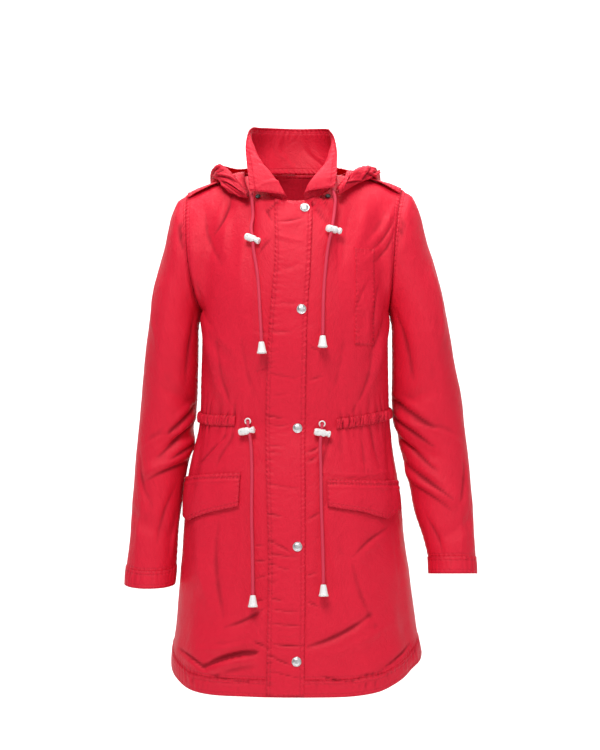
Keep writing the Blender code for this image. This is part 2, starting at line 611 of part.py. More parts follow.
def shared_normals(side, rows):
    """Normals of a front and of the back's half beside it, made one along the seams they share."""
    columns = panel_columns()
    # Both fields in the order of the columns, whichever way their grids run.
    onward, reverse = slice(None), slice(None, None, -1)
    order = (reverse, onward) if side == "left" else (onward, reverse)
    front = normals(half_grid(side, False, columns, rows))[order[0]]
    back = normals(half_grid(side, True, columns, rows))[order[1]]
    shoulder = columns >= NECK_SHARE - 1e-6
    if rows[0] == 0:
        front[shoulder, 0] = back[shoulder, 0] = unit(front[shoulder, 0] + back[shoulder, 0])
    below = rows >= 1
    front[-1, below] = back[-1, below] = unit(front[-1, below] + back[-1, below])
    for half in (front, back):
        half[0, :, 0] = 0
        half[0] = unit(half[0])
    return front[order[0]], back


def make_fronts():
    for side in SIDES:
        for name, rows, thickness in PANELS:
            grid = half_grid(side, False, panel_columns(), rows)
            normal, _ = shared_normals(side, rows)
            wall(f"{name}front_{side}", tighten(grid), thickness, normal=normal)


def full_back(rows):
    """Both halves of the back in one grid, from the right side seam to the left."""
    columns = panel_columns()
    right = coat("right", True, columns[::-1, None], rows[None, :])
    left = coat("left", True, columns[1:, None], rows[None, :])
    return np.concatenate([right, left])


def make_back():
    for name, rows, thickness in PANELS:
        right, left = (shared_normals(side, rows)[1] for side in ("right", "left"))
        normal = np.concatenate([right[::-1], left[1:]])
        grid = full_back(rows)
        if name:
            wall(f"{name}back", tighten(grid), thickness, normal=normal)
            continue
        for part, kept in (("upper", rows <= WAIST_ROW), ("lower", rows >= WAIST_ROW)):
            wall(f"back_{part}", tighten(grid[:, kept]), thickness, normal=normal[:, kept])


def armhole(side, turns):
    """The armhole's edge: turn 0 shoulder tip, 0.25 front, 0.5 armpit, 0.75 back; with the way out."""
    points, ways = [], []
    for turn in turns:
        back = turn > 0.5
        v = 2 * (1 - turn) if back else 2 * turn
        edge = coat(side, back, 1.0, v)
        ways.append(unit(edge - coat(side, back, 0.985, v)))
        points.append(edge + ways[-1] * SEAM * 1.6)
    return np.array(points), np.array(ways)


def sleeve_ring(side, row, turns):
    """One level ring of the sleeve, with a pitch that lifts its back edge."""
    data = SLEEVE[side]
    sign = SIDES[side]
    outer, inner = data["outer"][row], data["inner"][row]
    angle = turns * 2 * math.pi
    cos, sin = np.cos(angle), np.sin(angle)
    reach = np.sign(cos) * np.abs(cos) ** (2 / SLEEVE_SQUARE) * (outer - inner) / 2
    depth = np.sign(sin) * np.abs(sin) ** (2 / SLEEVE_SQUARE) * data["depth"][row]
    x = sign * ((outer + inner) / 2 + reach)
    y = data["middle"][row] - depth
    z = data["height"][row] - data["pitch"][row] * depth
    return np.stack([x, y, z], axis=-1)


def sleeve(side, turns, v):
    """Sleeve surface: v 0-1 from the armhole to the first ring, then one unit for each ring."""
    rings = np.stack([sleeve_ring(side, row, turns) for row in range(len(SLEEVE[side]["height"]))])
    start, _ = armhole(side, turns)
    knots = np.arange(len(rings), dtype=float) + 1
    columns = []
    for at in v:
        if at < 1:
            cap = np.cos(turns * math.pi) ** 2
            swell = SLEEVE_HEAD * at * (1 - at) * cap
            outward = np.array([SIDES[side] * HEAD_WAY[0], 0, HEAD_WAY[1]])
            slope = rings[1] - rings[0]
            chord = rings[0] - start
            ease = at * at * (at - 1) * ARMPIT_EASE * (1 - cap)
            point = start + chord * at + outward * swell[:, None] + (slope - chord) * ease[:, None]
        else:
            point = spline(knots, rings, at)
        middle = point.mean(axis=0)
        outward = unit(point - middle)
        lift = fold_lift(SLEEVE_FOLDS[side], turns, point[:, 2], SLEEVE_METRES_PER_TURN)
        columns.append(point + outward * (lift * min(1, at * 1.5))[:, None])
    return np.stack(columns, axis=1)


def make_sleeves():
    for side in SIDES:
        turns = np.arange(2 * (CHEST_ROWS - 1)) / (2 * (CHEST_ROWS - 1))
        end = CUFF_ROW + 1
        rows = np.concatenate([np.linspace(0, 1, 7)[:-1], np.linspace(1, end, 15)])
        grid = sleeve(side, turns, rows)
        cuff = sleeve(side, turns, np.linspace(end, end + 1, 3))
        _, ways = armhole(side, turns)
        if side == "right":
            grid, cuff, ways = grid[::-1], cuff[::-1], ways[::-1]
        normal = normals(grid, wrap=True)
        lean = np.maximum(0, np.sum(normal[:, 0] * ways, axis=-1, keepdims=True))
        normal[:, 0] = unit(normal[:, 0] - lean * ways)
        wall(f"sleeve_{side}", tighten(grid, wrap=True, ends=(False, True)), wrap=True, normal=normal)
        wall(f"cuff_{side}", tighten(cuff, wrap=True), thickness=CLOTH * 1.3, wrap=True)


def width_to_u(side, x, v):
    """Share of the panel's width at which its rows v are x away from the centre."""
    low, high = np.zeros(np.broadcast(x, v).shape), np.full(np.broadcast(x, v).shape, 0.95)
    for _ in range(24):
        middle = (low + high) / 2
        short = np.abs(coat(side, False, middle, v)[..., 0]) < x
        low, high = np.where(short, middle, low), np.where(short, high, middle)
    return (low + high) / 2


def placket_grid():
    """Storm flap: its rows are the panel's own, so that it lies flat on both fronts."""
    rows = np.concatenate([[0.02], panel_rows()[1:-1], np.linspace(2, 2.9, BAND_ROWS)])[None, :]
    height = coat("right", False, 0.1, rows)[..., 2]
    left = spline(PLACKET["height"], PLACKET["left"], height)
    right = spline(PLACKET["height"], PLACKET["right"], height)
    x = left + (right - left) * np.linspace(0, 1, PLACKET_COLUMNS)[:, None]
    halves = {side: coat(side, False, width_to_u(side, np.abs(x), rows), rows) for side in SIDES}
    grid = np.where((x > 0)[..., None], halves["right"], halves["left"])
    return raised(grid, normals(grid), ON_CLOTH + CLOTH)


def make_placket():
    wall("placket", placket_grid())


def front_sheet(side, x, height):
    """Points of the front at a grid of x and height."""
    u, v = front_place(side, x, height)
    return coat(side, False, u, v)


def make_welt():
    x = np.linspace(*WELT["x"], 4)[:, None]
    height = np.linspace(WELT["height"][1], WELT["height"][0], 9)[None, :]
    grid = front_sheet("right", x, height)
    wall("chest_welt", raised(grid, normals(grid), ON_CLOTH + CLOTH))


def make_flaps():
    for side in SIDES:
        data = FLAPS[side]
        across = np.linspace(0, 1, 12)
        down = np.linspace(0, 1, 5)
        u = spline(data["across"], data["u"], across)[:, None]
        top = np.interp(across, data["across"], data["top"])[:, None]
        low = np.interp(across, data["across"], data["low"])[:, None]
        height = top + (low - top) * down[None, :]
        grid = lower_body(side, False, u + 0 * height, height)
        if side == "left":
            grid = grid[::-1]
        lift = FLAP_CLEAR + CLOTH + FLAP_BOW * np.sin(down * math.pi)[None, :, None]
        wall(f"flap_{side}", raised(grid, normals(grid), lift))


def casing_grid(side, back, start):
    """The drawcord channel's cloth, swelling over the cord inside it."""
    data = CASINGS[side]
    u = np.linspace(start, 1, 11 if back else 9)
    middle = spline(data["u"], data["height"], u)
    if back:
        middle = data["height"][-1] + 0.004 * (1 - u) ** 2
    across = np.array([-1.0, -0.75, 0.0, 0.75, 1.0])
    swell = np.array([0, 0.8, 1.0, 0.8, 0]) * CASING_RISE
    height = middle[:, None] - across[None, :] * CASING_HALF
    grid = lower_body(side, back, u[:, None] + 0 * height, height)
    return grid, swell


def make_casings():
    for side in SIDES:
        grid, swell = casing_grid(side, False, CASINGS[side]["u"][0])
        if side == "left":
            grid = grid[::-1]
        lift = ON_CLOTH + CLOTH + swell[None, :, None]
        wall(f"waist_casing_{side}", tighten(raised(grid, normals(grid), lift)))
    right, swell = casing_grid("right", True, 0.0)
    left, _ = casing_grid("left", True, 0.0)
    middle = (right[0] + left[0]) / 2
    grid = np.concatenate([right[:0:-1], middle[None], left[1:]])
    lift = ON_CLOTH + CLOTH + swell[None, :, None]
    wall("waist_casing_back", tighten(raised(grid, normals(grid), lift)))


def around(tables, key, names, at, span):
    """Lines of points that run from the left half's front end round the back to the right half's.

    Each half's rows are placed by the column key, which is span at the centre back; the result has one
    line for each name, at the places at, which run from 0 to 2 * span.
    """
    left, right = tables["left"], tables["right"]
    knots = np.concatenate([left[key], 2 * span - right[key][-2::-1]])
    lines = []
    for name in names:
        near, far = (np.stack([half[f"{name}_{axis}"] for axis in "xyz"], axis=-1) for half in (left, right))
        lines.append(spline(knots, np.concatenate([near * (-1, 1, 1), far[-2::-1]]), at))
    return np.stack(lines)


def spline_grid(knots, lines, share):
    """Grid through three or more lines of points: result is (points along a line, share)."""
    return np.swapaxes(spline(knots, lines, share), 0, 1)


def collar_grid(count, steps):
    turn = np.linspace(COLLAR["left"]["turn"][0], 4 - COLLAR["right"]["turn"][0], count)
    roll, edge = around(COLLAR, "turn", ("roll", "edge"), turn, 2.0)
    left_half = (turn <= 2)[:, None]
    base = np.where(left_half, neckline("left", turn), neckline("right", 4 - turn))
    base = base * COLLAR_INSET + COLLAR_LIFT
    return spline_grid(COLLAR_KNOTS, np.stack([base, roll, edge]), np.linspace(0, 1, steps))


def make_collar():
    wall("collar", collar_grid(33, 7), thickness=CLOTH * 1.2)


def body_tree():
    """Search tree of the fronts' and the back's outer faces."""
    columns, rows = panel_columns(), panel_rows()
    return grid_tree([half_grid(side, False, columns, rows) for side in SIDES] + [full_back(rows)])


def grid_tree(grids):
    """Search tree of the outer faces of some grids."""
    points, faces = [], []
    for grid in grids:
        base = len(points)
        across, along = grid.shape[:2]
        points += [Vector(p) for p in grid.reshape(-1, 3)]
        for i in range(across - 1):
            for j in range(along - 1):
                a = base + i * along + j
                faces.append((a + 1, a + along + 1, a + along, a))
    return BVHTree.FromPolygons(points, faces)


def keep_off(tree, points, clearance):
    """Moves points that are nearer than the clearance out from the body's surface."""
    moved = points.copy().reshape(-1, 3)
    for index, point in enumerate(moved):
        place, normal, _, _ = tree.find_nearest(Vector(point))
        height = (Vector(point) - place).dot(normal)
        if height < clearance:
            moved[index] = np.array(Vector(point) + normal * (clearance - height))
    return moved.reshape(points.shape)


def evened(line, count):
    """The same line with its points at even distances."""
    run = np.concatenate([[0], np.cumsum(np.linalg.norm(np.diff(line, axis=0), axis=1))])
    at = np.linspace(0, run[-1], count)
    return np.stack([np.interp(at, run, line[:, axis]) for axis in range(3)], axis=-1)


def hood_grid(tree, count, steps):
    share = np.linspace(0, 2, count)
    lines = around(HOOD, "share", HOOD_NAMES, share, 1.0)
    grid = spline_grid(HOOD_KNOTS, lines, np.linspace(0, 1, 4 * steps))
    grid = np.stack([evened(line, steps) for line in grid])
    return keep_off(tree, grid[::-1], HOOD_CLEAR)


def make_hood(tree):
    wall("hood", hood_grid(tree, 25, 12))


def make_epaulettes():
    """Straps along the shoulder seams, sewn into the armholes."""
    for side in SIDES:
        share = np.linspace(*EPAULETTE_SHARES, 8)
        reach = np.linspace(-1, 1, 5) * EPAULETTE_REACH
        grid = np.stack([coat(side, across > 0, share, abs(across)) for across in reach])
        if side == "left":
            grid = grid[::-1]
        wall(f"epaulette_{side}", raised(grid, normals(grid), EPAULETTE_CLEAR + CLOTH))


# ---------------------------------------------------------------- hard pieces and cords
def turned(name, profile, place, axis, colour, roughness, metallic=0.0, sides=16):
    """A turned solid: profile of (radius, height) pairs from the bottom up, radius 0 at both ends."""
    points, faces = [], []
    rings = []
    for radius, height in profile:
        if radius == 0:
            rings.append([len(points)])
            points.append((0, 0, height))
            continue
        ring = []
        for k in range(sides):
            angle = 2 * math.pi * k / sides
            ring.append(len(points))
            points.append((radius * math.cos(angle), radius * math.sin(angle), height))
        rings.append(ring)
    for low, high in zip(rings, rings[1:]):
        for k in range(sides):
            n = (k + 1) % sides
            if len(low) == 1:
                faces.append((low[0], high[n], high[k]))
            elif len(high) == 1:
                faces.append((low[k], low[n], high[0]))
            else:
                faces.append((low[k], low[n], high[n], high[k]))
    turn = Vector(axis).to_track_quat("Z", "Y").to_matrix().to_4x4()
    matrix = Matrix.Translation(Vector(place)) @ turn
    placed = [matrix @ Vector(p) for p in points]
    return make_object(name, placed, faces, colour, roughness, metallic)


def front_at(x, height):
    """Points and outward normals of the smooth front, all on one side of the centre line."""
    x = np.asarray(x, float)
    side = "right" if x.flat[0] > 0 else "left"
    u, v = front_place(side, x, height)
    small = 1e-3
    here = coat(side, False, u, v)
    by_u = coat(side, False, u + small, v) - here
    by_v = coat(side, False, u, v + small) - here
    return here, unit(np.cross(by_v, by_u)) * SIDES[side]


def make_snaps():
    profile = [(radius * SNAP_RADIUS, height * SNAP_HEIGHT) for radius, height in SNAP_PROFILE]
    flap = grid_tree([placket_grid()])
    for number, (x, height) in enumerate(zip(*SNAPS.values()), start=1):
        place, _ = front_at(x, height)
        seat, normal, _, _ = flap.find_nearest(Vector(place))
        turned(f"snap_{number}", profile, seat + normal * SNAP_CLEAR, normal, SILVER, 0.25, 1.0)


def make_eyelets():
    for side, (x, height) in EYELETS.items():
        place, normal = front_at(x, height)
        turned(f"waist_eyelet_{side}", EYELET_PROFILE, place + normal * ON_CLOTH, normal, WHITE, 0.3)


def cord_route(name, count):
    """Evenly spaced points on a smooth curve through the route's own points."""
    data = CORDS[name]
    place, normal = front_at(data["x"], data["height"])
    stations = place + unit(normal * CORD_HANG) * data["lift"][:, None]
    steps = np.linalg.norm(np.diff(stations, axis=0), axis=1)
    knots = np.concatenate([[0], np.cumsum(steps)])
    at = np.linspace(0, knots[-1], count)
    return spline(knots, stations, at), stations


def make_cords():
    material_red = make_material("cord", CORD_RED, 0.6)
    for name in CORDS:
        points, stations = cord_route(name, CORD_POINTS)
        curve = bpy.data.curves.new(name, "CURVE")
        curve.dimensions = "3D"
        curve.bevel_depth = CORD_RADIUS
        curve.bevel_resolution = 2
        curve.use_fill_caps = True
        line = curve.splines.new("POLY")
        line.points.add(len(points) - 1)
        for target, point in zip(line.points, points):
            target.co = (*point, 1)
        curve.materials.append(material_red)
        bpy.context.scene.collection.objects.link(bpy.data.objects.new(name, curve))
        make_lock(name, stations)
        along = unit(points[-1] - points[-2])
        foot = points[-1] + along * (BELL_HEIGHT + SEAM)
        turned(f"{name}_bell", BELL_PROFILE, foot, -along, WHITE, 0.3, sides=12)


def make_lock(name, stations):
    """Barrel lock, with the cord through a hole across it."""
    index, shift, tilt = LOCKS[name]
    place = stations[index]
    along = unit(stations[index + 1] - stations[index - 1])
    _, normal = front_at(place[0], place[2])
    level = unit(np.cross(normal, np.array([0, 0, -1])))
    turn = math.radians(tilt)
    barrel = level * math.cos(turn) + np.cross(normal, level) * math.sin(turn)
    centre = place + barrel * shift
    profile = [(radius * LOCK_RADIUS, height * LOCK_LENGTH / 2) for radius, height in LOCK_PROFILE]
    lock = turned(f"{name}_lock", profile, centre, barrel, WHITE, 0.3, sides=14)
    bore_radius = CORD_RADIUS + BORE_PLAY
    reach = 2 * LOCK_RADIUS
    bore = ((0, -reach), (bore_radius, -reach), (bore_radius, reach), (0, reach))
    cutter = turned(f"{name}_bore", bore, place, along, WHITE, 0.3, sides=12)
    cutter.hide_render = True
    cutter.display_type = "WIRE"
    cut = lock.modifiers.new("cord hole", "BOOLEAN")
    cut.object = cutter
    cut.operation = "DIFFERENCE"


def main():
    for existing in list(bpy.data.objects):
        bpy.data.objects.remove(existing)
    make_fronts()
    make_back()
    make_sleeves()
    make_placket()
    make_casings()
    make_flaps()
    make_welt()
    make_collar()
    make_hood(body_tree())
    make_epaulettes()
    make_snaps()
    make_eyelets()
    make_cords()


main()
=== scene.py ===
import math

import bpy
import numpy as np
from bpy.props import FloatProperty, FloatVectorProperty, PointerProperty
from mathutils import Matrix, Vector
from mathutils.bvhtree import BVHTree


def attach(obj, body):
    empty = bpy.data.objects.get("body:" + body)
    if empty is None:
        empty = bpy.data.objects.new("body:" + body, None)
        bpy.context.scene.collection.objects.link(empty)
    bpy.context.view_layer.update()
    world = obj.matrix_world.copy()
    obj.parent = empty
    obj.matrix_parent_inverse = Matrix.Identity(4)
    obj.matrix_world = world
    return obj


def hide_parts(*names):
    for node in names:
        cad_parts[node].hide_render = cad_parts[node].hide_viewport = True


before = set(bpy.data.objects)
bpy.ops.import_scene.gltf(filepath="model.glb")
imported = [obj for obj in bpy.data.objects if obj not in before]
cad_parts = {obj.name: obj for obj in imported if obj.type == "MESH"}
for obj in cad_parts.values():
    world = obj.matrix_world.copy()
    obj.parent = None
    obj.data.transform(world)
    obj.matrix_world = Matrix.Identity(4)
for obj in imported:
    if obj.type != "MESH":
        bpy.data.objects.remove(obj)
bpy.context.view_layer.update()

bl_info = {
    "name": "Hooded Raincoat",
    "version": (1, 0, 0),
    "blender": (4, 5, 0),
    "location": "3D View > Sidebar > Raincoat",
    "description": "Builds a hooded raincoat as it hangs when worn, piece by piece",
    "category": "Add Mesh",
}

# ---- the smooth form of the coat ----
SQUARE = 2.3            # exponent of the body's rounded-square section
SLEEVE_SQUARE = 2.1     # exponent of the sleeve's section
BUST = -0.215           # height of the armpits
NECK_HALF = 0.066       # half-width of the neckline
NECK_SHARE = 0.26       # share of a panel's width that the neckline takes
NECK_CENTRE = (0.002, 0.005)      # depth and height of its middle at the side neck
NECK_REACH = (0.083, 0.062)       # how far it runs forward and back
NECK_DROP = (0.048, -0.006)       # how much lower it lies at the centre front and back
SHOULDER_ARCH = 0.006
HEM_BAND = 0.025        # depth of the hem band
CORD_RADIUS = 0.0025
BORE_PLAY = 0.00048     # play round the cord in its lock
BELL_HEIGHT = 0.0185
SIDES = {"left": -1.0, "right": 1.0}


def table(names, *rows):
    """Rows of numbers as named columns."""
    return {name: np.array(values, float) for name, values in zip(names.split(), zip(*rows))}


def spline(knots, values, at):
    """Smooth curve through the values, or rows of values, at rising knots, held at the ends."""
    slopes = np.gradient(values, knots, axis=0)
    at = np.clip(at, knots[0], knots[-1])
    low = np.clip(np.searchsorted(knots, at, side="right") - 1, 0, len(knots) - 2)
    shape = np.shape(low) + (1,) * (values.ndim - 1)
    step = np.reshape(knots[low + 1] - knots[low], shape)
    t = np.reshape(at - knots[low], shape) / step
    start = (2 * t**3 - 3 * t**2 + 1) * values[low] + (t**3 - 2 * t**2 + t) * step * slopes[low]
    return start + (3 * t**2 - 2 * t**3) * values[low + 1] + (t**3 - t**2) * step * slopes[low + 1]


def unit(vectors):
    return vectors / np.maximum(np.linalg.norm(vectors, axis=-1, keepdims=True), 1e-12)


def smooth_step(low, high, at):
    t = np.clip((at - low) / (high - low), 0, 1)
    return t * t * (3 - 2 * t)


def bulge(off, width):
    """1 at no distance, falling off smoothly to nothing over about twice the width."""
    return np.exp(-((off / width) ** 2))


# ---- tables of the cut ----
# Half-widths and depths of the body from the hem up to the armpits.
BODY = table(
    "height left right front back",
    (-0.830, 0.203, 0.203, 0.150, 0.150),
    (-0.765, 0.200, 0.202, 0.151, 0.149),
    (-0.732, 0.195, 0.195, 0.148, 0.148),
    (-0.684, 0.190, 0.189, 0.145, 0.145),
    (-0.620, 0.185, 0.180, 0.140, 0.141),
    (-0.556, 0.181, 0.172, 0.135, 0.135),
    (-0.488, 0.175, 0.165, 0.128, 0.124),
    (-0.449, 0.168, 0.158, 0.122, 0.114),
    (-0.400, 0.156, 0.152, 0.114, 0.101),
    (-0.337, 0.154, 0.150, 0.120, 0.103),
    (-0.262, 0.152, 0.149, 0.129, 0.110),
    (-0.215, 0.151, 0.149, 0.127, 0.112),
)
# Lower edge of the coat from the centre line (u = 0) to the side seam (u = 1).
HEM = table(
    "u left right",
    (0.00, -0.818, -0.818),
    (0.30, -0.818, -0.816),
    (0.45, -0.817, -0.809),
    (0.60, -0.811, -0.796),
    (0.80, -0.795, -0.777),
    (1.00, -0.772, -0.762),
)
# Shoulder tip, and how far the front armhole curves in towards the chest.
ARMHOLE = table(
    "side tip_x tip_y tip_z pull_top pull_low",
    (-1, 0.177, 0.012, -0.026, 0.010, -0.070),
    (1, 0.173, 0.012, -0.018, -0.050, -0.020),
)
# Largest folds: a soft ridge (lift > 0) or trough along a line, in quarter turns round the body (0
# centre front, 1 side seam, 2 centre back, left negative) and height.
FOLDS = table(
    "turn_a height_a turn_b height_b width lift",
    (-0.62, -0.50, -0.55, -0.80, 0.022, 0.0040),
    (-0.30, -0.56, -0.22, -0.81, 0.020, -0.0035),
    (0.30, -0.52, 0.36, -0.81, 0.022, 0.0040),
    (0.66, -0.55, 0.70, -0.79, 0.020, -0.0035),
    (-0.80, -0.42, -0.70, -0.49, 0.014, -0.0030),
    (0.80, -0.42, 0.72, -0.49, 0.014, -0.0030),
    (-0.90, -0.24, -0.55, -0.30, 0.016, 0.0030),
    (0.90, -0.24, 0.58, -0.31, 0.016, 0.0030),
    (0.55, -0.07, 0.42, -0.13, 0.016, 0.0030),
    (-0.52, -0.05, -0.44, -0.12, 0.016, -0.0025),
    (1.35, -0.47, 1.30, -0.80, 0.024, 0.0045),
    (1.75, -0.46, 1.78, -0.81, 0.024, -0.0040),
    (-1.40, -0.48, -1.36, -0.80, 0.024, 0.0045),
    (-1.80, -0.47, -1.72, -0.81, 0.024, 0.0040),
    (1.30, -0.36, 1.55, -0.30, 0.016, -0.0030),
    (-1.28, -0.36, -1.58, -0.31, 0.016, -0.0030),
)
METRES_PER_TURN = 0.235

# Sleeves from just under the armpit to the cuff seam: edges nearer (inner) and farther from the body.
SLEEVE = {
    "left": table(
        "height outer inner middle depth pitch",
        (-0.250, 0.2405, 0.1575, 0.010, 0.062, 0.0),
        (-0.300, 0.2466, 0.1580, 0.013, 0.060, 0.0),
        (-0.360, 0.2515, 0.1610, 0.017, 0.057, 0.0),
        (-0.410, 0.2560, 0.1640, 0.018, 0.055, 0.0),
        (-0.455, 0.2600, 0.1740, 0.014, 0.052, 0.0),
        (-0.500, 0.2633, 0.1815, 0.008, 0.049, 0.0),
        (-0.545, 0.2657, 0.1880, 0.000, 0.046, 0.0),
        (-0.590, 0.2690, 0.1905, -0.008, 0.044, 0.06),
        (-0.628, 0.2735, 0.1930, -0.015, 0.043, 0.12),
        (-0.654, 0.2755, 0.1950, -0.019, 0.043, 0.12),
    ),
    "right": table(
        "height outer inner middle depth pitch",
        (-0.250, 0.2495, 0.1550, 0.010, 0.062, 0.0),
        (-0.300, 0.2580, 0.1555, 0.013, 0.060, 0.0),
        (-0.355, 0.2690, 0.1560, 0.016, 0.058, 0.0),
        (-0.405, 0.2740, 0.1590, 0.016, 0.056, 0.0),
        (-0.450, 0.2790, 0.1735, 0.010, 0.053, 0.0),
        (-0.495, 0.2830, 0.1835, 0.000, 0.049, 0.0),
        (-0.540, 0.2850, 0.1925, -0.012, 0.046, -0.04),
        (-0.580, 0.2870, 0.2040, -0.023, 0.043, -0.08),
        (-0.612, 0.2885, 0.2120, -0.031, 0.041, -0.10),
        (-0.637, 0.2895, 0.2130, -0.037, 0.041, -0.10),
    ),
}
CUFF_ROW = 8            # row of SLEEVE at which the cuff is sewn on
# Sleeve folds: angle round the sleeve (0 outer, 0.25 front, 0.5 inner, 0.75 back) and height.
SLEEVE_FOLDS = {
    "left": table(
        "turn_a height_a turn_b height_b width lift",
        (0.50, -0.405, 0.30, -0.425, 0.011, -0.0050),
        (0.48, -0.435, 0.22, -0.470, 0.012, 0.0045),
        (0.45, -0.370, 0.25, -0.345, 0.012, -0.0035),
        (0.05, -0.060, 0.16, -0.150, 0.016, -0.0030),
        (0.62, -0.420, 0.80, -0.400, 0.012, -0.0040),
        (0.10, -0.545, 0.35, -0.575, 0.012, -0.0030),
    ),
    "right": table(
        "turn_a height_a turn_b height_b width lift",
        (0.50, -0.415, 0.30, -0.445, 0.011, -0.0050),
        (0.45, -0.480, 0.22, -0.515, 0.012, 0.0045),
        (0.44, -0.370, 0.26, -0.350, 0.012, -0.0035),
        (0.05, -0.060, 0.16, -0.150, 0.016, -0.0030),
        (0.62, -0.420, 0.80, -0.400, 0.012, -0.0040),
        (0.12, -0.555, 0.32, -0.580, 0.012, -0.0030),
    ),
}
SLEEVE_METRES_PER_TURN = 0.30
SLEEVE_HEAD = 0.046     # fullness of the sleeve's head over the shoulder
HEAD_WAY = (0.92, 0.39)  # how far it goes out and up
ARMPIT_EASE = 0.6       # how much of the sleeve's own slope reaches the armpit

# Collar: base on the neckline (turn 0 front, 1 side, 2 back), the roll line and the free edge. The
# front corners are folded out, so that the free edge runs down beside the fold.
COLLAR = {
    "left": table(
        "turn roll_x roll_y roll_z edge_x edge_y edge_z",
        (0.14, 0.0195, -0.084, -0.0345, 0.0726, -0.079, -0.0275),
        (0.27, 0.0240, -0.080, -0.0215, 0.0755, -0.071, -0.006),
        (0.45, 0.0385, -0.069, -0.0015, 0.0785, -0.058, 0.020),
        (0.66, 0.0560, -0.050, 0.0190, 0.0805, -0.044, 0.048),
        (0.85, 0.0665, -0.030, 0.0390, 0.0770, -0.027, 0.071),
        (1.05, 0.0730, 0.000, 0.0420, 0.0712, -0.006, 0.081),
        (1.35, 0.0620, 0.040, 0.0450, 0.0580, 0.036, 0.086),
        (2.00, 0.0000, 0.070, 0.0500, 0.0000, 0.070, 0.088),
    ),
    "right": table(
        "turn roll_x roll_y roll_z edge_x edge_y edge_z",
        (0.14, 0.0160, -0.084, -0.0300, 0.0614, -0.079, -0.022),
        (0.27, 0.0200, -0.080, -0.0190, 0.0645, -0.071, -0.003),
        (0.45, 0.0310, -0.069, -0.0045, 0.0655, -0.057, 0.018),
        (0.66, 0.0455, -0.050, 0.0110, 0.0657, -0.044, 0.040),
        (0.85, 0.0550, -0.030, 0.0310, 0.0615, -0.026, 0.063),
        (1.05, 0.0620, 0.000, 0.0400, 0.0540, -0.006, 0.0765),
        (1.35, 0.0570, 0.040, 0.0450, 0.0500, 0.036, 0.084),
        (2.00, 0.0000, 0.070, 0.0500, 0.0000, 0.070, 0.088),
    ),
}
COLLAR_KNOTS = np.array([0.0, 0.42, 1.0])   # base, roll line and edge along the collar's width
COLLAR_INSET = np.array([0.985, 0.985, 1])  # its base lies just inside the neckline, and just over it
COLLAR_LIFT = np.array([0, 0, 0.0012])
